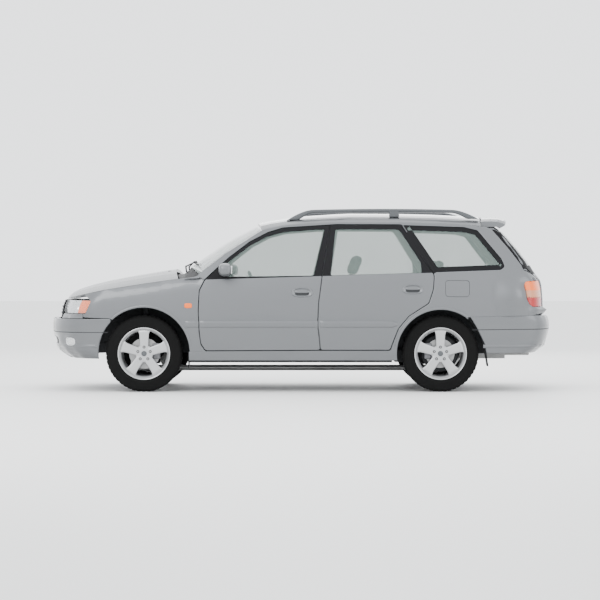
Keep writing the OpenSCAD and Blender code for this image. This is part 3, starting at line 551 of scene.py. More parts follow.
@dataclass
class EndChart(Chart):
    """The front or rear of the car, seen in angle and height from a point inside."""

    x0: float
    facing: int

    def split(self, p: np.ndarray) -> np.ndarray:
        """Returns rows of (u, v, height) for rows of points."""
        x, y = (p[:, 0] - self.x0) * self.facing, p[:, 1]
        return np.column_stack([np.arctan2(y, x), p[:, 2], np.hypot(x, y)])

    def join(self, q: np.ndarray) -> np.ndarray:
        """Returns rows of points for rows of (u, v, height)."""
        a, h = q[:, 0], q[:, 2]
        return np.column_stack([self.x0 + self.facing * h * np.cos(a), h * np.sin(a), q[:, 1]])


class Fit:
    """A thin-plate surface through scattered heights."""

    def __init__(self, uv: np.ndarray, h: np.ndarray, soft: float = 1e-5) -> None:
        """Fits the surface.

        Args:
            uv: Rows of surface coordinates.
            h: The heights there.
            soft: How far the surface may pass beside them.
        """
        _, keep = np.unique(np.round(uv / 0.004), axis=0, return_index=True)
        uv, h = uv[keep], h[keep]
        if len(uv) > 1500:
            pick = np.linspace(0, len(uv) - 1, 1500).astype(int)
            uv, h = uv[pick], h[pick]
        self.uv = uv
        n = len(uv)
        flat = np.column_stack([np.ones(n), uv])
        full = np.zeros((n + 3, n + 3))
        full[:n, :n] = self.kernel(uv, uv) + soft * np.eye(n)
        full[:n, n:] = flat
        full[n:, :n] = flat.T
        self.weights = np.linalg.lstsq(full, np.concatenate([h, np.zeros(3)]), rcond=None)[0]

    @staticmethod
    def kernel(a: np.ndarray, b: np.ndarray) -> np.ndarray:
        """Returns the thin-plate kernel between two sets of points."""
        d = ((a[:, None, :] - b[None, :, :]) ** 2).sum(2)
        return 0.5 * d * np.log(d + 1e-12)

    def __call__(self, uv: np.ndarray) -> np.ndarray:
        """Returns the heights at the given points."""
        n = len(self.uv)
        out = [self.kernel(c, self.uv) @ self.weights[:n] + self.weights[n] + c @ self.weights[n + 1:]
               for c in np.array_split(uv, max(1, len(uv) // 2000))]
        return np.concatenate(out)


class Rays:
    """Rays cast at every CAD node at rest."""

    def __init__(self) -> None:
        """Gathers the nodes' faces in one tree."""
        points: list = []
        faces: list = []
        for obj in frame["nodes"].values():
            start = len(points)
            points.extend(v.co.copy() for v in obj.data.vertices)
            faces.extend([start + i for i in p.vertices] for p in obj.data.polygons)
        self.tree = BVHTree.FromPolygons(points, faces)

    def clear(self, start: np.ndarray, way: np.ndarray) -> bool:
        """Returns whether nothing lies ahead of a point."""
        at = Vector(start) + Vector(way) * 0.003
        return self.tree.ray_cast(at, Vector(way), 3.0)[0] is None


RAYS = Rays()


def inside(points: np.ndarray, loop: np.ndarray) -> np.ndarray:
    """Tells which points lie inside a closed loop.

    Args:
        points: Rows of two coordinates.
        loop: The loop's corners.

    Returns:
        True for each point inside.
    """
    hit = np.zeros(len(points), bool)
    a, b = loop, np.roll(loop, -1, 0)
    for (x0, y0), (x1, y1) in zip(a, b):
        if y0 == y1:
            continue
        cross = (points[:, 1] > min(y0, y1)) & (points[:, 1] <= max(y0, y1))
        at = x0 + (points[:, 1] - y0) * (x1 - x0) / (y1 - y0)
        hit ^= cross & (points[:, 0] < at)
    return hit


def area(loop: np.ndarray) -> float:
    """Returns a loop's signed area."""
    nxt = np.roll(loop, -1, 0)
    return float((loop[:, 0] * nxt[:, 1] - nxt[:, 0] * loop[:, 1]).sum() / 2)


def soften(loop: np.ndarray, reach: float, step: float) -> np.ndarray:
    """Rounds a loop's corners and spaces its points evenly.

    Args:
        loop: The loop's corners.
        reach: How far along each edge a corner's round begins.
        step: The spacing of the points.

    Returns:
        The new loop.
    """
    back, ahead = np.roll(loop, 1, 0) - loop, np.roll(loop, -1, 0) - loop
    lb, la = np.linalg.norm(back, axis=1), np.linalg.norm(ahead, axis=1)
    points: list = []
    for p, b, a, nb, na in zip(loop, back, ahead, lb, la):
        if nb < 1e-6 or na < 1e-6:
            continue
        cut = min(reach, 0.45 * nb, 0.45 * na)
        p0, p1 = p + b / nb * cut, p + a / na * cut
        for t in (0.0, 0.2, 0.4, 0.6, 0.8, 1.0):
            points.append(p0 * (1 - t) ** 2 + 2 * p * t * (1 - t) + p1 * t * t)
    ring = np.array(points)
    gaps = np.linalg.norm(np.roll(ring, -1, 0) - ring, axis=1)
    out: list = []
    for p, q, d in zip(ring, np.roll(ring, -1, 0), gaps):
        n = max(1, int(math.ceil(d / step)))
        if d > 1e-5:
            out.extend(p + (q - p) * k / n for k in range(n))
    return np.array(out)


def shifted(loop: np.ndarray, inward: float) -> np.ndarray:
    """Moves a loop's points towards the panel by a distance.

    Args:
        loop: The loop, anticlockwise round a panel or clockwise round a hole.
        inward: The distance.

    Returns:
        The moved loop.
    """
    way = np.roll(loop, -1, 0) - np.roll(loop, 1, 0)
    way /= np.maximum(np.linalg.norm(way, axis=1), 1e-9)[:, None]
    return loop + np.column_stack([-way[:, 1], way[:, 0]]) * inward


@dataclass
class Patch:
    """The outer faces of a CAD node that hang together, in a chart's coordinates."""

    chart: Chart
    loops: list
    samples: np.ndarray
    tree: BVHTree

    @property
    def size(self) -> float:
        """Returns the patch's area in the chart."""
        return abs(area(self.loops[0]))


class Peel:
    """Finds the outer patches of a CAD node."""

    def __init__(self, node: str, chart: Chart, lean: float = 0.4) -> None:
        """Takes the faces that look outward and that nothing covers.

        Args:
            node: The CAD node.
            chart: How its surface is laid out.
            lean: The least outward share of a face's normal.
        """
        mesh = frame["nodes"][node].data
        co = np.array([v.co for v in mesh.vertices], float)
        key = {tuple(np.round(c, 5)): i for i, c in enumerate(co)}
        same = np.array([key[tuple(np.round(c, 5))] for c in co])
        tris = np.array([[same[i] for i in p.vertices] for p in mesh.polygons
                         if len(p.vertices) == 3])
        a, b, c = co[tris[:, 0]], co[tris[:, 1]], co[tris[:, 2]]
        normal = np.cross(b - a, c - a)
        size = np.linalg.norm(normal, axis=1)
        mid = (a + b + c) / 3
        normal /= np.maximum(size, 1e-12)[:, None]
        out = chart.out(mid)
        good = ((normal * out).sum(1) > lean) & (size > 1e-9)
        self.chart, self.co = chart, co
        self.tree = BVHTree.FromPolygons([tuple(c) for c in co], [tuple(int(i) for i in t) for t in tris])
        self.patches = [p for p in (self._patch(g, tris, mid, out, size)
                                    for g in self._groups(tris, good)) if p]
        self.patches.sort(key=lambda p: -p.size)

    @staticmethod
    def _groups(tris: np.ndarray, good: np.ndarray) -> list:
        """Returns lists of face numbers that share edges.

        Args:
            tris: Rows of corner numbers.
            good: Which faces count.

        Returns:
            Lists of face numbers, one for each group.
        """
        edges: dict = {}
        for f in np.flatnonzero(good):
            for k in range(3):
                e = tuple(sorted((tris[f][k], tris[f][(k + 1) % 3])))
                edges.setdefault(e, []).append(f)
        near: dict = {}
        for fs in edges.values():
            for f in fs:
                near.setdefault(f, set()).update(fs)
        groups, seen = [], set()
        for f in near:
            if f in seen:
                continue
            stack, group = [f], []
            seen.add(f)
            while stack:
                g = stack.pop()
                group.append(g)
                for h in near[g] - seen:
                    seen.add(h)
                    stack.append(h)
            groups.append(group)
        return groups

    def _patch(self, group: list, tris: np.ndarray, mid: np.ndarray, out: np.ndarray,
               size: np.ndarray) -> Optional[Patch]:
        """Returns the group as a patch, or None if it is covered or tiny.

        Args:
            group: The face numbers of the group.
            tris: Rows of corner numbers.
            mid: The middle of each face.
            out: The outward direction of each face.
            size: Twice the area of each face.

        Returns:
            The patch, or None.
        """
        total = size[group].sum() / 2
        if total < 0.0006:
            return None
        order = sorted(group, key=lambda f: -size[f])[:9]
        if sum(RAYS.clear(mid[f], out[f]) for f in order) < 0.5 * len(order):
            return None
        count: dict = {}
        for f in group:
            for k in range(3):
                count[(tris[f][k], tris[f][(k + 1) % 3])] = True
        rim = {a: b for a, b in count if (b, a) not in count}
        loops = []
        while rim:
            start, at = next(iter(rim)), None
            loop = [start]
            at = rim.pop(start)
            while at != start and at in rim:
                loop.append(at)
                at = rim.pop(at)
            if len(loop) > 2:
                flat = self.chart.split(self.co[loop])[:, :2]
                loops.append(self._straight(flat))
        loops.sort(key=lambda q: -abs(area(q)))
        if not loops or len(loops[0]) < 3:
            return None
        if area(loops[0]) < 0:
            loops = [q[::-1] for q in loops]
        used = sorted({i for f in group for i in tris[f]})
        return Patch(self.chart, loops, self.chart.split(self.co[used]), self.tree)

    @staticmethod
    def _straight(loop: np.ndarray) -> np.ndarray:
        """Returns the loop without points that lie on a straight run."""
        keep = []
        n = len(loop)
        for i in range(n):
            a, b, c = loop[i - 1], loop[i], loop[(i + 1) % n]
            u, w = b - a, c - b
            turn = abs(u[0] * w[1] - u[1] * w[0])
            if turn > 0.012 * np.linalg.norm(u) * np.linalg.norm(w) + 1e-9:
                keep.append(i)
        return loop[keep] if len(keep) > 2 else loop


@dataclass
class Skin:
    """A fine panel over a patch, with a rolled edge."""

    patch: Patch
    lift: float = 0.0012
    depth: float = 0.011
    step: float = 0.026
    corner: float = 0.02
    roll: float = 0.003
    inset: float = 0.0

    def __post_init__(self) -> None:
        """Fits the surface."""
        q = self.patch.samples
        self.scale = np.array([self._stretch(), 1.0])
        self.fit = Fit(q[:, :2] * self.scale, q[:, 2])

    def _stretch(self) -> float:
        """Returns metres along the surface for one unit of the first coordinate."""
        if isinstance(self.patch.chart, EndChart):
            return float(np.median(self.patch.samples[:, 2]))
        return 1.0

    def loops(self) -> list:
        """Returns the patch's loops with softened corners, in metres."""
        out = []
        for loop in self.patch.loops:
            loop = loop * self.scale
            if abs(area(loop)) < 4e-5:
                continue
            loop = soften(loop, self.corner, 0.014)
            out.append(shifted(loop, self.inset) if self.inset else loop)
        return out

    def holds(self, path: np.ndarray) -> np.ndarray:
        """Returns which points of a path lie on the skin, outside its openings."""
        rim, *holes = self.loops()
        stay = inside(path, rim)
        for hole in holes:
            stay &= ~inside(path, hole)
        return stay

    def surface(self, uv: np.ndarray, deep: float = 0.0) -> np.ndarray:
        """Returns points on the surface, sunk by a depth.

        Args:
            uv: Rows of coordinates in metres.
            deep: The depth under the skin.

        Returns:
            Rows of points.
        """
        chart, low = self.patch.chart, uv / self.scale
        fitted = self.fit(uv)
        base = chart.join(np.column_stack([low, fitted + 0.03]))
        way = -chart.out(base)
        for i in range(len(uv)):
            hit = self.patch.tree.ray_cast(Vector(base[i]), Vector(way[i]), 0.045)
            if hit[3] is not None:
                fitted[i] = max(fitted[i], fitted[i] + 0.03 - hit[3] - 0.0003)
        return chart.join(np.column_stack([low, fitted + self.lift - deep]))

    def build(self, name: str, finish: Finish, body: str, dent: Optional[Callable] = None,
              keep: Optional[Callable] = None,
              cut: Optional[np.ndarray] = None) -> bpy.types.Object:
        """Makes the panel.

        Args:
            name: The piece's name.
            finish: Its finish.
            body: The body that it rides on.
            dent: Gives the depth of pressed features from rows of coordinates.
            keep: Tells which rows of coordinates belong to the piece.
            cut: A line of points that the faces follow, where the piece ends.

        Returns:
            The new object.
        """
        rims = self.loops()
        rings = [[shifted(r, self.roll * s) for r in rims] for s in (1.0, 0.3, 0.0)]
        flat = np.concatenate(rings[0])
        lo, hi = flat.min(0), flat.max(0)
        gu, gv = np.meshgrid(np.arange(lo[0], hi[0], self.step), np.arange(lo[1], hi[1], self.step))
        grid = np.column_stack([gu.ravel(), gv.ravel()])
        grid = grid[inside(grid, shifted(rings[0][0], self.step * 0.35))]
        for hole in rings[0][1:]:
            grid = grid[~inside(grid, shifted(hole, self.step * 0.35))]
        points = np.concatenate([flat, grid])
        edges, start = [], 0
        if cut is not None:
            edges += [(len(points) + i, len(points) + i + 1) for i in range(len(cut) - 1)]
            points = np.concatenate([points, cut])
        for r in rings[0]:
            edges += [(start + i, start + (i + 1) % len(r)) for i in range(len(r))]
            start += len(r)
        made = delaunay_2d_cdt([Vector(p) for p in points], edges, [], 0, 1e-6)
        verts = np.array([tuple(v) for v in made[0]])
        tris = np.array([f for f in made[2] if len(f) == 3])
        mid = verts[tris].mean(1)
        good = inside(mid, rings[0][0])
        for hole in rings[0][1:]:
            good &= ~inside(mid, hole)
        if keep is not None:
            good &= keep(mid)
        tris = tris[good]
        deep = dent(verts) if dent else 0.0
        sheets = [self.surface(verts, deep)]
        faces = [tuple(t) for t in tris]
        base = len(verts)
        if self.depth > 0:
            for k, rim in enumerate(rings[0]):
                rows = [rings[0][k], rings[1][k], rings[2][k], rings[2][k]]
                sinks = [0.0, self.roll * 0.3, self.roll, self.depth]
                n = len(rim)
                stay = keep((rim + np.roll(rim, -1, 0)) / 2) if keep else np.ones(n, bool)
                for row, sink in zip(rows, sinks):
                    extra = dent(row) if dent else 0.0
                    sheets.append(self.surface(row, sink + extra))
                for r in range(3):
                    for i in np.flatnonzero(stay):
                        j = (i + 1) % n
                        p, q = base + r * n, base + (r + 1) * n
                        faces.append((p + j, p + i, q + i, q + j))
                base += 4 * n
        points = np.concatenate(sheets)
        first = points[tris[0]]
        normal = np.cross(first[1] - first[0], first[2] - first[0])
        if (normal * self.patch.chart.out(first[:1])[0]).sum() < 0:
            faces = [f[::-1] for f in faces]
        return Maker.add(name, points, faces, finish, body, 40.0)


def skins(node: str, chart: Chart, finish: Finish, smallest: float = 0.002, replace: bool = False,
          lean: float = 0.4, **sizes: float) -> list:
    """Lays fine panels over a node's outer patches.

    Args:
        node: The CAD node.
        chart: How its surface is laid out.
        finish: The panels' finish.
        smallest: The least area of a patch.
        replace: Whether the panels stand for the node.
        lean: The least outward share of a face's normal.
        sizes: Sizes for the skins.

    Returns:
        Pairs of skin and object.
    """
    made = []
    for k, patch in enumerate(Peel(node, chart, lean).patches):
        skin = Skin(patch, **sizes)
        if abs(area(patch.loops[0] * skin.scale)) < smallest:
            continue
        obj = skin.build(f"{node}.skin{k}", finish, body_of(node))
        if replace:
            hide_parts(node)
        made.append((skin, obj))
    return made


def dress(finish: Finish, *nodes: str) -> None:
    """Gives a finish to CAD nodes that stay visible, shaded smoothly.

    Args:
        finish: The finish.
        nodes: The nodes' names.
    """
    for node in nodes:
        mesh = frame["nodes"][node].data
        mesh.materials.clear()
        mesh.materials.append(FINISHES.get(finish))
        mesh.polygons.foreach_set("use_smooth", [True] * len(mesh.polygons))
        mesh.set_sharp_from_angle(angle=math.radians(30))


# ---- Sub-assemblies ---------------------------------------------------------

SIDES = {Side.LEFT: "left", Side.RIGHT: "right"}
SIDE_CHARTS = {s: SideChart(s.value) for s in Side}
NOSE = EndChart(-1.05, -1)
TAIL = EndChart(1.05, 1)


@dataclass
class Strip:
    """A raised strip that follows a skin."""

    skin: Skin
    u0: float
    u1: float
    v0: float
    v1: float
    height: float = 0.009
    point: bool = False

    def build(self, name: str, finish: Finish, body: str) -> bpy.types.Object:
        """Makes the strip.

        Args:
            name: The piece's name.
            finish: Its finish.
            body: The body that it rides on.

        Returns:
            The new object.
        """
        n = max(8, int(abs(self.u1 - self.u0) / 0.02))
        rows = [(0.0, -0.3), (0.0, 0.45), (0.08, 0.85), (0.25, 1.0), (0.5, 1.03), (0.75, 1.0),
                (0.92, 0.85), (1.0, 0.45), (1.0, -0.3)]
        uv, up = [], []
        for i in range(n + 1):
            t = i / n
            end = min(1.0, min(t, 1 - t) * n / 1.5 + 0.25)
            slim = max(0.02, 1 - max(0.0, (t - 0.9) / 0.1) ** 2) if self.point else 1.0
            mid, half = (self.v0 + self.v1) / 2, (self.v1 - self.v0) / 2 * slim
            for f, h in rows:
                uv.append((self.u0 + (self.u1 - self.u0) * t, mid + (f * 2 - 1) * half))
                up.append(h * self.height * end)
        points = self.skin.surface(np.array(uv), -np.array(up))
        m, faces = len(rows), []
        for i in range(n):
            for j in range(m - 1):
                a = i * m + j
                faces.append((a, a + 1, a + m + 1, a + m))
        faces += [tuple(range(m)), tuple(range(n * m, n * m + m))]
        return Maker.add(name, points, faces, finish, body, 50.0)


@dataclass
class Oval:
    """An oval fitting on a skin, built up of rings from its middle out."""

    skin: Skin
    u: float
    v: float
    half_u: float
    half_v: float
    power: float = 2.6

    def build(self, name: str, rings: Sequence[tuple], finish: Finish,
              body: str) -> bpy.types.Object:
        """Makes the fitting.

        Args:
            name: The piece's name.
            rings: Pairs of share of the size and height above the skin.
            finish: Its finish.
            body: The body that it rides on.

        Returns:
            The new object.
        """
        n, uv, up = 64, [], []
        for share, height in rings:
            for i in range(n):
                a = 2 * math.pi * i / n
                c, s = math.cos(a), math.sin(a)
                uv.append((self.u + math.copysign(abs(c) ** (2 / self.power), c) * self.half_u * share,
                           self.v + math.copysign(abs(s) ** (2 / self.power), s) * self.half_v * share))
                up.append(height)
        points = self.skin.surface(np.array(uv), -np.array(up))
        faces = [tuple(range(n))]
        for r in range(len(rings) - 1):
            for i in range(n):
                j = (i + 1) % n
                faces.append((r * n + i, (r + 1) * n + i, (r + 1) * n + j, r * n + j))
        return Maker.add(name, points, faces, finish, body, 40.0)


class Shell:
    """The painted panels, bumpers and doors."""

    def __init__(self) -> None:
        """Starts with no skin."""
        self.skins: dict[str, list] = {}

    def build(self) -> None:
        """Builds every panel."""
        dress(FINISHES.paint, "body_side_left", "body_side_right", "roof_panel", "bonnet",
              "rear_spoiler", "door_mirror_left", "door_mirror_right", "front_fenders",
              "front_bumper", "rear_bumper", "tailgate", "fuel_flap")
        # The doors' CAD bodies are black under their skins, so the shut lines round the doors show dark.
        # This is painted shade in the gaps, where the real door edges are body colour; the doors' inner
        # faces and belt shelves stand for black trim.
        dress(FINISHES.black, "front_door_left", "front_door_right", "rear_door_left",
              "rear_door_right", "cowl_panel", "wipers", "mud_flaps", "rear_wiper", "grille_panel")
        dress(FINISHES.rail, "roof_rails")
        self.sides()
        self.ends()

    def sides(self) -> None:
        """Builds the fenders, doors and body sides."""
        for side, word in SIDES.items():
            chart = SIDE_CHARTS[side]
            for node in (f"front_door_{word}", f"rear_door_{word}"):
                self.skins[node] = self.door(node, chart)
            node = f"body_side_{word}"
            self.skins[node] = skins(node, SideChart(side.value, 1.75, 0.38), FINISHES.paint)
        peel = Peel("front_fenders", SIDE_CHARTS[Side.LEFT])
        other = Peel("front_fenders", SIDE_CHARTS[Side.RIGHT])
        self.skins["front_fenders"] = []
        for k, patch in enumerate(peel.patches + other.patches):
            if patch.size > 0.01:
                skin = Skin(patch)
                obj = skin.build(f"front_fenders.skin{k}", FINISHES.paint, "root")
                self.skins["front_fenders"].append((skin, obj))
        self.skins["fuel_flap"] = skins("fuel_flap", SIDE_CHARTS[Side.LEFT], FINISHES.paint)

    @staticmethod
    def belt(u: np.ndarray) -> np.ndarray:
        """Returns the height at which the doors' black window frames begin."""
        low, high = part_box("front_door_left")[0].x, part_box("rear_door_left")[1].x
        return 0.983 + 0.062 * (u - low) / (high - low)

    def door(self, node: str, chart: Chart) -> list:
        """Builds a door's painted panel and black window frame.

        Args:
            node: The door's node.
            chart: How its surface is laid out.

        Returns:
            Pairs of skin and object.
        """
        made = []
        for k, patch in enumerate(Peel(node, chart).patches):
            if patch.size < 0.002:
                continue
            skin = Skin(patch, lift=0.0015)
            lo, hi = patch.samples[:, 0].min(), patch.samples[:, 0].max()
            u = np.arange(lo - 0.01, hi + 0.01, 0.02)
            line = np.column_stack([u, self.belt(u)])
            body = body_of(node)
            low = skin.build(f"{node}.panel{k}", FINISHES.paint, body, cut=line,
                             keep=lambda q: q[:, 1] < self.belt(q[:, 0]))
            skin.build(f"{node}.frame{k}", FINISHES.gloss_black, body, cut=line,
                       keep=lambda q: q[:, 1] >= self.belt(q[:, 0]))
            made.append((skin, low))
        return made

    def ends(self) -> None:
        """Builds the bumpers, the grille and the tailgate."""
        for node, chart, finish in (("front_bumper", NOSE, FINISHES.paint),
                                    ("grille_panel", NOSE, FINISHES.black),
                                    ("rear_bumper", TAIL, FINISHES.paint)):
            self.skins[node] = skins(node, chart, finish, lean=0.3)
        self.skins["grille_panel"] = []
        v = np.linspace(0.55, 0.95, 20)
        line = np.concatenate([np.column_stack([np.full(20, -0.4), v]),
                               np.column_stack([np.full(20, 0.4), v[::-1]])])
        for k, patch in enumerate(Peel("grille_panel", NOSE, 0.3).patches[:1]):
            skin = Skin(patch, lift=0.003)
            skin.build(f"grille_panel.panel{k}", FINISHES.paint, "root", cut=line,
                       keep=lambda q: np.abs(q[:, 0]) > 0.4)
            low = skin.build(f"grille_panel.mouth{k}", FINISHES.black, "root", cut=line,
                             keep=lambda q: np.abs(q[:, 0]) <= 0.4)
            self.skins["grille_panel"].append((skin, low))
        self.skins["tailgate"] = []
        for k, patch in enumerate(Peel("tailgate", TAIL, 0.3).patches[:1]):
            skin = Skin(patch)
            u = np.arange(-1.2, 1.2, 0.02)
            line = np.column_stack([u, np.full(len(u), 1.035)])
            low = skin.build(f"tailgate.panel{k}", FINISHES.paint, "tailgate", cut=line,
                             keep=lambda q: q[:, 1] < 1.035)
            skin.build(f"tailgate.frame{k}", FINISHES.gloss_black, "tailgate", cut=line,
                       keep=lambda q: q[:, 1] >= 1.035)
            self.skins["tailgate"].append((skin, low))
        for k, patch in enumerate(Peel("quarter_windows", SideChart(-1, 1.75, 0.38)).patches[:1]
                                  + Peel("quarter_windows", SideChart(1, 1.75, 0.38)).patches[:1]):
            self.border("quarter_windows", k, patch, 0.045)

    @staticmethod
    def border(node: str, k: int, patch: Patch, width: float) -> None:
        """Lays a black border round the edge of a pane.

        Args:
            node: The pane's node.
            k: The piece's number.
            patch: The pane's outer patch.
            width: The border's width.
        """
        skin = Skin(patch, depth=0.002, lift=0.0016)
        ring = soften(shifted(skin.loops()[0][::4], width), 0.05, 0.014)
        line = np.concatenate([ring, ring[:1]])
        skin.build(f"{node}.border{k}", FINISHES.gloss_black, body_of(node), cut=line,
                   keep=lambda q: ~inside(q, ring))

@dataclass
class WheelSet:
    """One road wheel with its tyre and the brake parts seen through it."""

    corner: str
    spokes: int = 5
    segments: int = 240
    lip: float = 0.011

    def build(self) -> None:
        """Builds the wheel, the tyre and the brake."""
        wheel, tyre = f"wheel_{self.corner}", f"tyre_{self.corner}"
        low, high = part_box(wheel)
        tlow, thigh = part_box(tyre)
        self.centre = (tlow + thigh) / 2
        self.side = -1 if self.centre.y < 0 else 1
        self.rim = (high.z - low.z) / 2
        self.half = (high.y - low.y) / 2
        self.radius = (thigh.z - tlow.z) / 2
        self.width = (thigh.y - tlow.y) / 2
        self.body = body_of(wheel)
        self.turn = Lathe(self.centre, self.side, self.segments)
        self.tyre(tyre)
        self.ring(wheel)
        for k in range(self.spokes):
            self.spoke(wheel, k)
        self.hub(wheel)
        self.brake()

    def tyre(self, node: str) -> None:
        """Builds the tyre with grooves and sidewall ribs.

        Args:
            node: The CAD node that the tyre stands for.
        """
        r, w, b = self.radius, self.width, self.rim - 0.012
        half = [(b, w - 0.017), (b + 0.012, w - 0.008), (b + 0.02, w - 0.003), (b + 0.034, w),
                (b + 0.04, w + 0.0005), (b + 0.043, w - 0.0008), (b + 0.06, w), (r - 0.034, w - 0.004),
                (r - 0.02, w - 0.008), (r - 0.017, w - 0.012), (r - 0.009, w - 0.017)]
        tread = []
        grooves = (0.062, 0.024, -0.024, -0.062)
        out = w - 0.024
        tread.append((r - 0.003, out))
        for g in grooves:
            tread += [(r, g + 0.0065), (r - 0.0075, g + 0.0045), (r - 0.0075, g - 0.0045),
                      (r, g - 0.0065)]
        tread.append((r - 0.003, -out))
        profile = half + tread + [(a, -o) for a, o in reversed(half)]
        first, last = len(half), len(half) + len(tread)

        def wobble(i: int, j: int) -> float:
            """Returns the cut of the cross grooves in the tread blocks."""
            band = first <= j < last or j in (first - 1, last)
            shift = 1 if profile[j][1] > 0 else 3
            return -0.005 if band and (i + shift) % 5 == 0 else 0.0

        piece = self.turn.build(f"{node}.fine", profile[::-1], FINISHES.rubber, self.body, True,
                                wobble)
        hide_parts(node)

    def ring(self, node: str) -> None:
        """Builds the rim's lip and barrel.

        Args:
            node: The CAD node that the rim stands for.
        """
        r, w = self.rim, self.half
        profile = [(r - 0.001, w - 0.004), (r, w - 0.001), (r - 0.004, w), (r - 0.009, w - 0.002),
                   (r - 0.013, w - 0.009), (r - 0.024, w - 0.016), (r - 0.03, w - 0.028),
                   (r - 0.033, w - 0.06), (r - 0.04, -w + 0.03), (r - 0.012, -w + 0.012),
                   (r - 0.004, -w), (r, -w + 0.002), (r - 0.002, -w + 0.008), (r - 0.016, -w + 0.02),
                   (r - 0.026, 0.0), (r - 0.016, w - 0.02), (r - 0.007, w - 0.01)]
        piece = self.turn.build(f"{node}.ring", profile[::-1], FINISHES.alloy, self.body)
        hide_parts(node)

    def spoke(self, node: str, k: int) -> None:
        """Builds one spoke.

        Args:
            node: The rim's CAD node.
            k: Which spoke, counted from the top.
        """
        angle = math.pi / 2 + 2 * math.pi * k / self.spokes
        inner, outer = 0.03, self.rim - 0.018
        n, points = 18, []
        section = [(-0.5, -1.0), (-0.5, -0.3), (-0.46, -0.1), (-0.38, -0.02), (-0.2, 0.0), (0.0, 0.02),
                   (0.2, 0.0), (0.38, -0.02), (0.46, -0.1), (0.5, -0.3), (0.5, -1.0)]
        for i in range(n + 1):
            t = i / n
            r = inner + (outer - inner) * t
            width = 0.07 + 0.018 * t + 0.04 * max(0.0, (t - 0.72) / 0.28) ** 2
            face = self.half - 0.012 - 0.012 * (1 - t) ** 2 - 0.004 * math.sin(math.pi * t)
            face -= 0.01 * max(0.0, (t - 0.88) / 0.12)
            for s, d in section:
                out = face + d * (0.034 if d < -0.5 else 0.02)
                along, across = r, s * width
                x = along * math.cos(angle) - across * math.sin(angle)
                z = along * math.sin(angle) + across * math.cos(angle)
                points.append((self.centre.x + x, self.centre.y + self.side * out, self.centre.z + z))
        m, faces = len(section), []
        for i in range(n):
            for j in range(m):
                q = (j + 1) % m
                face = (i * m + j, i * m + q, (i + 1) * m + q, (i + 1) * m + j)
                faces.append(face if self.side < 0 else face[::-1])
        Maker.add(f"{node}.spoke{k}", points, faces, FINISHES.alloy, self.body, 50.0)

    def hub(self, node: str) -> None:
        """Builds the hub, its nuts and the cap.

        Args:
            node: The rim's CAD node.
        """
        w = self.half
        small = Lathe(self.centre, self.side, 64)
        small.build(f"{node}.hub", [(0.0, w - 0.06), (0.078, w - 0.06), (0.078, w - 0.03),
                                    (0.072, w - 0.025), (0.03, w - 0.022), (0.0, w - 0.022)][::-1],
                    FINISHES.alloy, self.body, False)
        small.build(f"{node}.cap", [(0.0, w - 0.009), (0.016, w - 0.01), (0.022, w - 0.013),
                                    (0.024, w - 0.018), (0.024, w - 0.03)], FINISHES.grey,
                    self.body, False)
        for k in range(self.spokes):
            a = math.pi / 2 + 2 * math.pi * k / self.spokes
            at = self.centre + Vector((math.cos(a), 0, math.sin(a))) * 0.0571
            # A dark cup round each nut stands for the shade down in the nut's bore: painted shade on the
            # alloy hub face.
            Lathe(at, self.side, 24).build(f"{node}.well_shade{k}", [(0.0, w - 0.0215), (0.011, w - 0.0205),
                                                               (0.0125, w - 0.0195), (0.0135, w - 0.026)],
                                           FINISHES.under, self.body, False)
            Lathe(at, self.side, 6).build(f"{node}.nut{k}", [(0.0, w - 0.014), (0.007, w - 0.014),
                                                             (0.0085, w - 0.017), (0.0085, w - 0.026)],
                                          FINISHES.steel, self.body, False)

    def brake(self) -> None:
        """Builds the brake disc with its cover and caliper."""
        front = self.corner.startswith("front")
        disc = Lathe(self.centre, self.side, 96)
        carrier = f"knuckle_{self.corner.split('_')[1]}" if front else "rear_axle"
        r = 0.135 if front else 0.128
        disc.build(f"wheel_{self.corner}.disc", [(0.07, 0.045), (0.07, 0.012), (r, 0.012), (r, -0.008),
                                                 (0.06, -0.008), (0.06, 0.045)], FINISHES.steel, self.body)
        edge = 0.1 if front else r + 0.03
        disc.build(f"{carrier}.cover_{self.corner}", [(0.04, -0.014), (edge, -0.014),
                                                      (edge + 0.002, -0.012), (edge + 0.004, -0.016),
                                                      (0.04, -0.018)], FINISHES.under, body_of(carrier))
        turn = -1 if front else 1
        at = self.centre + Vector((-turn * 0.105, 0, 0.02))
        size = Vector((0.034, 0.03, 0.07))
        low = at - size + Vector((0, self.side * 0.002, 0))
        Block(low, at + size, 0.012).build(f"{carrier}.caliper_{self.corner}", FINISHES.cast,
                                           body_of(carrier))


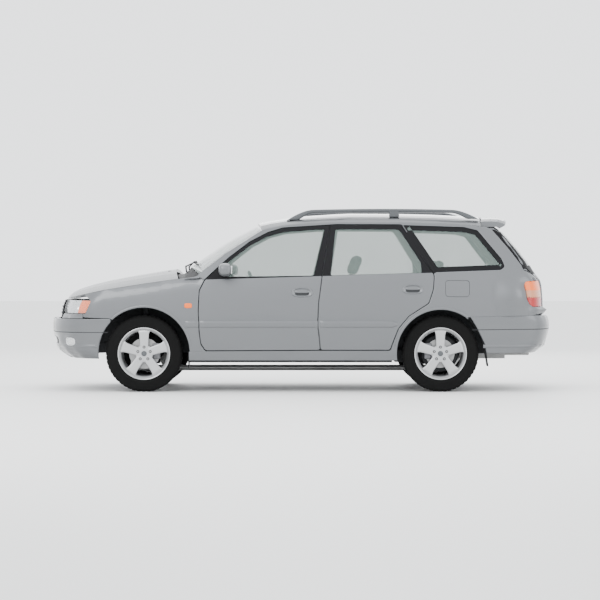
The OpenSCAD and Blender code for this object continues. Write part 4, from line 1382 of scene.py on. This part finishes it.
class Stage:
    """The floor, lights and camera."""

    def build(self) -> None:
        """Builds the set round the car."""
        mesh = bpy.data.meshes.new("floor")
        s = 60.0
        mesh.from_pydata([(-s, -s, 0), (s, -s, 0), (s, s, 0), (-s, s, 0)], [], [(0, 1, 2, 3)])
        floor = bpy.data.objects.new("floor", mesh)
        bpy.context.scene.collection.objects.link(floor)
        net = Net("floor")
        net.set(Base_Color=(0.82, 0.82, 0.81), Roughness=0.6)
        mesh.materials.append(net.material)
        world = bpy.data.worlds.new("sky")
        bpy.context.scene.world = world
        world.use_nodes = True
        back = world.node_tree.nodes["Background"]
        back.inputs[0].default_value = (0.96, 0.98, 1.0, 1)
        back.inputs[1].default_value = 2.5
        for name, at, aim, size, power in (
                ("key", (-4.5, -8.0, 6.0), (0, 0, 0.6), 5.0, 420.0),
                ("fill", (6.0, -7.0, 3.5), (0.5, 0, 0.6), 5.0, 150.0),
                ("top", (0.0, 1.0, 7.5), (0, 0, 0), 7.0, 260.0),
                ("back", (1.0, 8.0, 5.0), (0, 0, 0.8), 5.0, 260.0)):
            self.light(name, Vector(at), Vector(aim), size, power)
        self.camera()

    def light(self, name: str, at: Vector, aim: Vector, size: float, power: float) -> None:
        """Adds a soft square light.

        Args:
            name: Its name.
            at: Its place.
            aim: The point that it faces.
            size: Its side.
            power: Its power in watts.
        """
        data = bpy.data.lights.new(name, "AREA")
        data.size, data.energy = size, power
        obj = bpy.data.objects.new(name, data)
        obj.location = at
        obj.rotation_mode = "QUATERNION"
        obj.rotation_quaternion = (aim - at).to_track_quat("-Z", "Y")
        bpy.context.scene.collection.objects.link(obj)

    def camera(self) -> None:
        """Adds the camera, level with the doors and far away on the left."""
        data = bpy.data.cameras.new("camera")
        data.lens, data.sensor_width = 137.6, 36.0
        data.clip_end = 200.0
        obj = bpy.data.objects.new("camera", data)
        at, aim = Vector((0, -20.9, 1.06)), Vector((0, 0, 0.796))
        obj.location = at
        obj.rotation_mode = "QUATERNION"
        obj.rotation_quaternion = (aim - at).to_track_quat("-Z", "Y")
        bpy.context.scene.collection.objects.link(obj)
        bpy.context.scene.camera = obj


@dataclass
class Ribbon:
    """A raised or sunk line that follows a path on a skin."""

    skin: Skin
    path: np.ndarray
    width: float
    height: float
    closed: bool = False

    def build(self, name: str, finish: Finish, body: str) -> bpy.types.Object:
        """Makes the ribbon.

        Args:
            name: The piece's name.
            finish: Its finish.
            body: The body that it rides on.

        Returns:
            The new object.
        """
        path = self.path
        if self.closed:
            way = np.roll(path, -1, 0) - np.roll(path, 1, 0)
        else:
            way = np.gradient(path, axis=0)
        way /= np.linalg.norm(way, axis=1)[:, None]
        side = np.column_stack([-way[:, 1], way[:, 0]])
        rows = [(-0.5, -0.0006), (-0.42, 0.6 * self.height), (-0.2, self.height),
                (0.2, self.height), (0.42, 0.6 * self.height), (0.5, -0.0006)]
        points = [self.skin.surface(path + side * (s * self.width), -h) for s, h in rows]
        n, m = len(path), len(rows)
        faces = []
        for i in range(n if self.closed else n - 1):
            j = (i + 1) % n
            for r in range(m - 1):
                faces.append((r * n + i, r * n + j, (r + 1) * n + j, (r + 1) * n + i))
        if not self.closed:
            faces += [tuple(r * n for r in range(m)), tuple(r * n + n - 1 for r in range(m))]
        return Maker.add(name, np.concatenate(points), faces, finish, body, 60.0)


@dataclass
class Trim:
    """Strips, handles, repeaters, arch lips, rails and other outside fittings."""

    shell: Shell
    strip_up: float = 0.2
    strip_height: float = 0.057
    nozzle_y: float = 0.32
    fog_y: float = 0.74
    fog_z: float = 0.44
    grille_half: float = 0.385
    grille_bars: int = 4
    rail_ease: float = 0.24
    rail_crown: float = 0.016

    def skin(self, node: str, side: Side = Side.LEFT) -> Skin:
        """Returns a node's largest skin, on the given side of a paired node."""
        made = [s for s, _ in self.shell.skins[node]
                if not isinstance(s.patch.chart, SideChart) or s.patch.chart.side == side.value]
        return made[0]

    def build(self) -> None:
        """Builds every fitting."""
        for side, word in SIDES.items():
            self.side(side, word)
        self.bumpers()
        for side in Side:
            self.rail(side)
        self.mirror_glass()
        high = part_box("bonnet")[1]
        for y in (-self.nozzle_y, self.nozzle_y):
            at = Vector((high.x - 0.1, y, high.z - 0.022))
            Block(at - Vector((0.014, 0.01, 0.004)), at + Vector((0.014, 0.01, 0.005)), 0.004).build(
                f"bonnet.nozzle{int(y > 0)}", FINISHES.black, "bonnet")

    def side(self, side: Side, word: str) -> None:
        """Builds one side's strips, handles, repeater and arch lips.

        Args:
            side: The side of the car.
            word: The side's name.
        """
        front, rear = f"front_door_{word}", f"rear_door_{word}"
        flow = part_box(front)[0]
        rlow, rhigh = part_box(rear)
        bottom = flow.z + self.strip_up
        strip = (bottom, bottom + self.strip_height)
        fender = self.skin("front_fenders", side)
        Strip(fender, flow.x - 0.118, flow.x - 0.002, *strip).build(
            f"front_fenders.strip_{word}", FINISHES.paint, "root")
        Strip(self.skin(front, side), flow.x + 0.012, rlow.x - 0.004, *strip).build(
            f"{front}.strip", FINISHES.paint, body_of(front))
        Strip(self.skin(rear, side), rlow.x + 0.018, rhigh.x - 0.31, *strip, point=True).build(
            f"{rear}.strip", FINISHES.paint, body_of(rear))
        for node, u, v in ((front, rlow.x - 0.14, flow.z + 0.507),
                           (rear, rhigh.x - 0.185, flow.z + 0.534)):
            self.handle(node, self.skin(node, side), u, v)
        Oval(fender, flow.x - 0.092, flow.z + 0.392, 0.034, 0.022, 3.4).build(
            f"front_fenders.repeater_{word}", [(0.0, 0.009), (0.6, 0.0085), (0.85, 0.007), (0.97, 0.003),
                                               (1.0, -0.001)], FINISHES.amber, "root")
        self.lips(side, word, fender)
        body = self.skin(f"body_side_{word}", side)
        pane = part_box("quarter_windows")[0]
        t = np.linspace(0, 1, 60)
        path = np.column_stack([pane.x + 0.002 + 0.276 * t, pane.z + 0.41 - 0.415 * t])
        stay = body.holds(path)
        if stay.sum() > 8:
            Ribbon(body, path[stay], 0.026, 0.0014).build(f"body_side_{word}.pillar",
                                                          FINISHES.gloss_black, "root")

    def handle(self, node: str, skin: Skin, u: float, v: float) -> None:
        """Builds a recessed pull handle in its oval bezel.

        Args:
            node: The door's node.
            skin: The door's outer panel.
            u: The handle's place along the car.
            v: The handle's height.
        """
        body = body_of(node)
        Oval(skin, u, v, 0.095, 0.041).build(
            f"{node}.bezel", [(0.0, 0.001), (0.74, 0.001), (0.8, 0.004), (0.87, 0.0062), (0.93, 0.006),
                              (0.985, 0.003), (1.0, -0.001)], FINISHES.paint, body)
        # A dark oval sits just above the door skin in the handle's recess. It is painted shade standing
        # for the shadow inside the recess, not a dark part.
        Oval(skin, u, v - 0.006, 0.062, 0.02, 4.0).build(
            f"{node}.recess_shade", [(0.0, 0.0016), (0.9, 0.0017), (1.0, 0.0012)], FINISHES.under, body)
        Oval(skin, u, v + 0.009, 0.067, 0.013, 4.0).build(
            f"{node}.pull", [(0.0, 0.0085), (0.6, 0.0082), (0.88, 0.0068), (1.0, 0.0015)],
            FINISHES.paint, body)

    def lips(self, side: Side, word: str, fender: Skin) -> None:
        """Builds the raised lips round the wheel arches.

        Args:
            side: The side of the car.
            word: The side's name.
            fender: The front fender's panel.
        """
        fit_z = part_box("tyre_front_left")[1].z / 2
        for tag, corner, skin in (("front_fenders", "front", fender),
                                  (f"body_side_{word}", "rear", self.skin(f"body_side_{word}", side))):
            low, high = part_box(f"tyre_{corner}_{word}")
            x = (low.x + high.x) / 2
            rim = np.concatenate(skin.loops())
            near = np.hypot(rim[:, 0] - x, rim[:, 1] - fit_z)
            r = float(np.median(near[(near < 0.44) & (rim[:, 1] > 0.5)]))
            turn = np.linspace(math.radians(10), math.radians(170), 70)
            path = np.column_stack([x + (r + 0.012) * np.cos(turn), fit_z + (r + 0.012) * np.sin(turn)])
            stay = skin.holds(path)
            if stay.sum() > 4:
                Ribbon(skin, path[stay], 0.024, 0.006).build(f"{tag}.lip_{corner}_{word}",
                                                             FINISHES.paint, "root")

    def bumpers(self) -> None:
        """Builds the bumpers' grooves, grille, intake and fog lamps."""
        for node, z0, z1 in (("front_bumper", 0.522, 0.522), ("rear_bumper", 0.545, 0.56)):
            skin = self.skin(node)
            u0, u1 = skin.loops()[0][:, 0].min(), skin.loops()[0][:, 0].max()
            u = np.linspace(u0 + 0.02, u1 - 0.02, 140)
            mid = 1 - np.abs(u) / u.max()
            path = np.column_stack([u, z0 + (z1 - z0) * mid])
            # Each groove is a thin dark ribbon just proud of the bumper. It is painted shade standing for
            # the shadow down in a groove of the body-coloured bumper.
            Ribbon(skin, path, 0.007, 0.0006).build(f"{node}.groove_shade", FINISHES.under, "root")
            path = np.column_stack([u, np.full(len(u), 0.4)])
            Ribbon(skin, path[6:-6], 0.03, 0.004).build(f"{node}.crease", FINISHES.paint, "root")
        skin = self.skin("front_bumper")
        Oval(skin, 0.0, 0.435, 0.46, 0.036, 9.0).build(
            "front_bumper.intake0", [(0.0, 0.0012), (0.9, 0.0012), (0.985, 0.003), (1.0, 0.0)],
            FINISHES.black, "root")
        for sign in (-1, 1):
            word = "left" if sign < 0 else "right"
            u = sign * self.fog_y
            Oval(skin, u, self.fog_z, 0.06, 0.037, 3.0).build(
                f"front_bumper.fog_bezel_{word}",
                [(0.0, 0.002), (0.76, 0.002), (0.84, 0.007), (0.95, 0.006), (1.0, 0.0)],
                FINISHES.chrome, "root")
            Oval(skin, u, self.fog_z, 0.046, 0.028, 3.0).build(
                f"front_bumper.fog_{word}", [(0.0, 0.006), (0.7, 0.0055), (1.0, 0.0022)],
                FINISHES.clear, "root")
        for node, v in (("front_bumper", 0.572), ("tailgate", 0.84)):
            skin = self.skin(node)
            Oval(skin, 0.0, v, 0.26, 0.053, 20.0).build(
                f"{node}.plate", [(0.0, 0.009), (0.96, 0.009), (0.985, 0.0082), (1.0, 0.0)],
                FINISHES.plate, body_of(node))
        grille = self.skin("grille_panel")
        low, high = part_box("grille_panel")
        u = np.linspace(-self.grille_half, self.grille_half, 60)
        for k in range(self.grille_bars):
            v = low.z + (high.z - low.z) * (0.3 + 0.17 * k)
            finish = FINISHES.chrome if k == self.grille_bars - 1 else FINISHES.grey
            Ribbon(grille, np.column_stack([u, np.full(60, v)]), 0.012, 0.007).build(
                f"grille_panel.bar{k}", finish, "root")

    def rail(self, side: Side) -> None:
        """Builds one roof rail and its middle foot.

        Args:
            side: The side of the car.
        """
        low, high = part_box("roof_rails")
        x0, x1, top = low.x, high.x, high.z - 0.002
        y = side.value * (high.y - 0.017)
        front, rear = low.z + 0.002, low.z + 0.014
        n, ring, points = 110, 16, []
        for i in range(n + 1):
            t = i / n
            x = x0 + (x1 - x0) * t
            a = min(1.0, (x - x0) / self.rail_ease)
            b = min(1.0, (x1 - x) / self.rail_ease)
            crown = top - self.rail_crown * (2 * t - 1) ** 2
            ease = math.sin(math.pi / 2 * min(a, b)) ** 0.9
            base = front if t < 0.5 else rear
            high_z = base + (crown - base) * ease
            a, b = (x - x0 - 0.1) / 0.14, (x1 - x - 0.1) / 0.14
            lift = max(0.0, min(1.0, min(a, b)))
            low_z = base + (crown - 0.03 - base) * math.sin(math.pi / 2 * lift)
            low_z = min(low_z, high_z - 0.004)
            mid, half = (low_z + high_z) / 2, (high_z - low_z) / 2
            for j in range(ring):
                q = 2 * math.pi * j / ring
                c, s = math.cos(q), math.sin(q)
                points.append((x, y + 0.0165 * math.copysign(abs(c) ** 0.7, c),
                               mid + half * math.copysign(abs(s) ** 0.7, s)))
        faces = [(i * ring + j, i * ring + (j + 1) % ring, (i + 1) * ring + (j + 1) % ring,
                  (i + 1) * ring + j) for i in range(n) for j in range(ring)]
        faces += [tuple(range(ring)), tuple(range(n * ring, n * ring + ring))]
        piece = Maker.add(f"roof_rails.bar_{SIDES[side]}", points, faces, FINISHES.rail, "root", 60.0)
        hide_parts("roof_rails")
        mid = x0 + (x1 - x0) * 0.56
        Block((mid - 0.045, y - 0.015, top - 0.075), (mid + 0.045, y + 0.015, top - 0.012), 0.01).build(
            f"roof_rails.foot_{SIDES[side]}", FINISHES.rail, "root")

    @staticmethod
    def mirror_glass() -> None:
        """Builds the mirrors: rounded housings, glasses and arms."""
        for side, word in SIDES.items():
            node = f"door_mirror_{word}"
            low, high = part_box(node)
            out, body = side.value, body_of(node)
            mid, size = (low + high) / 2, high - low
            housing = Pillow(mid, Vector((1, 0, 0)), Vector((0, 1, 0)), size.x, size.y, size.z, 0.62)
            piece = housing.build(f"{node}.housing", FINISHES.paint, body)
            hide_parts(node)
            y0, y1 = sorted((out * (abs(mid.y) - 0.06), out * (abs(mid.y) + 0.06)))
            Block((high.x - 0.012, y0, low.z + 0.022), (high.x + 0.001, y1, high.z - 0.022),
                  0.012).build(f"{node}.glass", FINISHES.chrome, body)
            y0, y1 = sorted((out * (abs(mid.y) - size.y / 2 - 0.028), out * (abs(mid.y) - 0.05)))
            Block((low.x + 0.02, y0, low.z + 0.002), (low.x + 0.075, y1, low.z + 0.03), 0.01).build(
                f"{node}.arm", FINISHES.black, body)


@dataclass
class Lamps:
    """The headlights and tail lights, with what shows inside their covers."""

    smallest: float = 0.004

    def build(self) -> None:
        """Builds every lamp."""
        for k, patch in enumerate(Peel("headlights", NOSE, 0.3).patches):
            if patch.size > self.smallest:
                self.head(k, patch)
        for k, patch in enumerate(Peel("tail_lights", TAIL, 0.3).patches):
            if patch.size > self.smallest:
                self.tail(k, patch)

    def head(self, k: int, patch: Patch) -> None:
        """Builds one headlight.

        Args:
            k: The piece's number.
            patch: The lamp's outer patch.
        """
        cover = Skin(patch, lift=0.0, depth=0.006)
        piece = cover.build(f"headlights.cover{k}", FINISHES.clear, "root")
        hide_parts("headlights")
        u = patch.samples[:, 0] * cover.scale[0]
        outer = u.max() if abs(u.max()) > abs(u.min()) else u.min()
        split = outer * 0.86
        v = np.linspace(0.6, 0.9, 20)
        line = np.column_stack([split + (v - 0.75) * np.sign(outer) * 0.3, v])

        def amber(q: np.ndarray) -> np.ndarray:
            """Returns which points lie in the indicator."""
            edge = split + (q[:, 1] - 0.75) * np.sign(outer) * 0.3
            return np.abs(q[:, 0]) > np.abs(edge)

        bowl = Skin(patch, lift=-0.02, depth=0.0, inset=0.004)
        bowl.build(f"headlights.indicator{k}", FINISHES.amber, "root", cut=line, keep=amber)

        def cups(q: np.ndarray) -> np.ndarray:
            """Returns the depth of the two reflector bowls."""
            lo, hi = patch.samples[:, 1].min(), patch.samples[:, 1].max()
            mid, r = (lo + hi) / 2, (hi - lo) * 0.44
            deep = np.zeros(len(q))
            for share in (0.5, 0.76):
                c = u.min() + (u.max() - u.min()) * (share if outer > 0 else 1 - share)
                d = np.hypot(q[:, 0] - c, q[:, 1] - mid) / r
                deep = np.maximum(deep, 0.034 * np.clip(1 - d * d, 0, 1))
            return deep

        mirror = Skin(patch, lift=-0.018, depth=0.0, inset=0.003, step=0.009)
        mirror.build(f"headlights.mirror{k}", FINISHES.chrome, "root", dent=cups, cut=line,
                     keep=lambda q: ~amber(q))

    def tail(self, k: int, patch: Patch) -> None:
        """Builds one tail light in its three bands.

        Args:
            k: The piece's number.
            patch: The lamp's outer patch.
        """
        lo, hi = patch.samples[:, 1].min(), patch.samples[:, 1].max()
        u = patch.samples[:, 0]
        marks = [lo - 1, lo + (hi - lo) * 0.36, lo + (hi - lo) * 0.63, hi + 1]
        for j, finish in enumerate((FINISHES.red, FINISHES.smoke, FINISHES.amber)):
            skin = Skin(patch, lift=0.001, depth=0.01, step=0.014)
            width = np.linspace(u.min() * skin.scale[0] - 0.02, u.max() * skin.scale[0] + 0.02, 40)
            cut = np.column_stack([width, np.full(40, marks[j + 1] if j < 2 else marks[j])])
            piece = skin.build(
                f"tail_lights.band{k}_{j}", finish, "root", cut=cut,
                dent=lambda q: 0.0012 * (np.sin(q[:, 1] * 420) > 0),
                keep=lambda q, a=marks[j], b=marks[j + 1]: (q[:, 1] >= a) & (q[:, 1] < b))
            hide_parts("tail_lights")


@dataclass
class Pillow:
    """A crowned, soft-edged block, such as a cushion, with pressed seams."""

    middle: Vector
    along: Vector
    across: Vector
    length: float
    width: float
    thick: float
    square: float = 0.42
    seams: tuple = ()
    ribs: tuple = ()

    def build(self, name: str, finish: Finish, body: str) -> bpy.types.Object:
        """Makes the block.

        Args:
            name: The piece's name.
            finish: Its finish.
            body: The body that it rides on.

        Returns:
            The new object.
        """
        up = self.along.cross(self.across)
        rows, ring, points = 44, 72, []
        for i in range(rows + 1):
            q = math.pi * i / rows
            a = -math.copysign(abs(math.cos(q)) ** self.square, math.cos(q))
            end = math.sin(q) ** self.square
            for j in range(ring):
                w = 2 * math.pi * j / ring
                b = math.copysign(abs(math.cos(w)) ** self.square, math.cos(w))
                c = math.copysign(abs(math.sin(w)) ** 0.75, math.sin(w))
                depth = self.thick / 2 * (0.9 + 0.1 * (1 - a * a) * (1 - b * b))
                depth -= sum(0.007 * math.exp(-((abs(b) - s) / 0.022) ** 2) for s in self.seams)
                depth -= sum(0.005 * math.exp(-((a - s) / 0.022) ** 2) for s in self.ribs)
                points.append(self.middle + self.along * (a * self.length / 2)
                              + self.across * (b * end * self.width / 2) + up * (c * end * depth))
        faces = [(i * ring + j, i * ring + (j + 1) % ring, (i + 1) * ring + (j + 1) % ring,
                  (i + 1) * ring + j) for i in range(rows) for j in range(ring)]
        return Maker.add(name, [tuple(p) for p in points], faces, finish, body, 80.0)


@dataclass
class Seats:
    """The cloth seats: front pair and rear bench."""

    tilt: float = math.radians(22)
    rear_tilt: float = math.radians(18)

    def build(self) -> None:
        """Builds the seats over their frames."""
        low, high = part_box("front_seats")
        across = Vector((0, 1, 0))
        wide = 0.5
        for sign in (-1, 1):
            word = SIDES[Side.LEFT if sign < 0 else Side.RIGHT]
            y = sign * (high.y - wide / 2)
            hip = Vector((low.x + 0.5, y, low.z + 0.185))
            way = Vector((math.cos(math.radians(4)), 0, -math.sin(math.radians(4))))
            self.pad(f"front_seats.cushion_{word}", "front_seats", Pillow(
                hip - Vector((0.25, 0, 0.015)), way, across, 0.5, wide, 0.125, 0.42, (0.62,),
                (-0.35, 0.0, 0.35)))
            up = Vector((math.sin(self.tilt), 0, math.cos(self.tilt)))
            foot = hip + Vector((-0.04, 0, -0.01))
            self.pad(f"front_seats.back_{word}", "front_seats", Pillow(
                foot + up * 0.3, up, across, 0.6, wide - 0.02, 0.115, 0.42, (0.62,),
                (-0.3, 0.1, 0.5)))
            self.pad(f"front_seats.headrest_{word}", "front_seats", Pillow(
                foot + up * 0.705, up, across, 0.17, 0.25, 0.09, 0.6, (), (0.0,)))
            for q in (-0.06, 0.06):
                at = foot + Vector((0, q, 0))
                Tube([tuple(at + up * 0.56), tuple(at + up * 0.68)], 0.006, 1.0, 16).build(
                    f"front_seats.post_{word}{int(q > 0)}", FINISHES.steel, "root")
            for q in (-1, 1):
                at = Vector((low.x + 0.25, y + q * (wide / 2 - 0.07), low.z + 0.06))
                Block(at - Vector((0.2, 0.016, 0.058)), at + Vector((0.2, 0.016, 0.07)), 0.006).build(
                    f"front_seats.runner_{word}{int(q > 0)}", FINISHES.black, "root")
        self.bench(across)

    def bench(self, across: Vector) -> None:
        """Builds the rear bench and its two headrests.

        Args:
            across: The direction across the car.
        """
        low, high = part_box("rear_seat")
        hip = Vector((low.x + 0.44, 0, low.z + 0.075))
        self.pad("rear_seat.cushion", "rear_seat", Pillow(
            hip - Vector((0.22, 0, 0)), Vector((1, 0, 0)), across, 0.44, high.y - low.y, 0.13, 0.36,
            (0.36,), (0.0,)))
        up = Vector((math.sin(self.rear_tilt), 0, math.cos(self.rear_tilt)))
        foot = hip + Vector((-0.03, 0, -0.005))
        self.pad("rear_seat.back", "rear_seat", Pillow(
            foot + up * 0.28, up, across, 0.56, high.y - low.y, 0.11, 0.36, (0.2, 0.75), (0.45,)))
        for sign in (-1, 1):
            word = SIDES[Side.LEFT if sign < 0 else Side.RIGHT]
            at = foot + Vector((0, sign * 0.36, 0))
            self.pad(f"rear_seat.headrest_{word}", "rear_seat", Pillow(
                at + up * 0.645, up, across, 0.14, 0.24, 0.08, 0.6, (), (0.0,)))
            for q in (-0.05, 0.05):
                spot = at + Vector((0, q, 0))
                Tube([tuple(spot + up * 0.53), tuple(spot + up * 0.6)], 0.006, 1.0, 16).build(
                    f"rear_seat.post_{word}{int(q > 0)}", FINISHES.steel, "root")

    @staticmethod
    def pad(name: str, node: str, pillow: Pillow) -> None:
        """Builds one stuffed cloth piece in place of part of a node."""
        piece = pillow.build(name, FINISHES.cloth, body_of(node))
        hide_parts(node)


def main() -> None:
    """Builds the car on its frame, class by class."""
    logging.basicConfig(level=logging.INFO, format="%(message)s")
    shell = Shell()
    shell.build()
    Trim(shell).build()
    Lamps().build()
    Seats().build()
    log.info("shell: %d pieces", Maker.count)
    dress(FINISHES.glass, "windscreen", "quarter_windows", "tailgate_glass", "front_door_glass_left",
          "front_door_glass_right", "rear_door_glass_left", "rear_door_glass_right")
    dress(FINISHES.cabin, "dashboard", "steering_wheel")
    dress(FINISHES.under, "floor_pan", "engine_bay", "fuel_tank", "front_suspension", "rear_axle")
    dress(FINISHES.cast, "engine_block", "knuckle_left", "knuckle_right")
    dress(FINISHES.steel, "exhaust")
    for corner in ("front_left", "front_right", "rear_left", "rear_right"):
        WheelSet(corner).build()
    log.info("wheels: %d pieces", Maker.count)
    Stage().build()


if __name__ == "__main__":
    main()
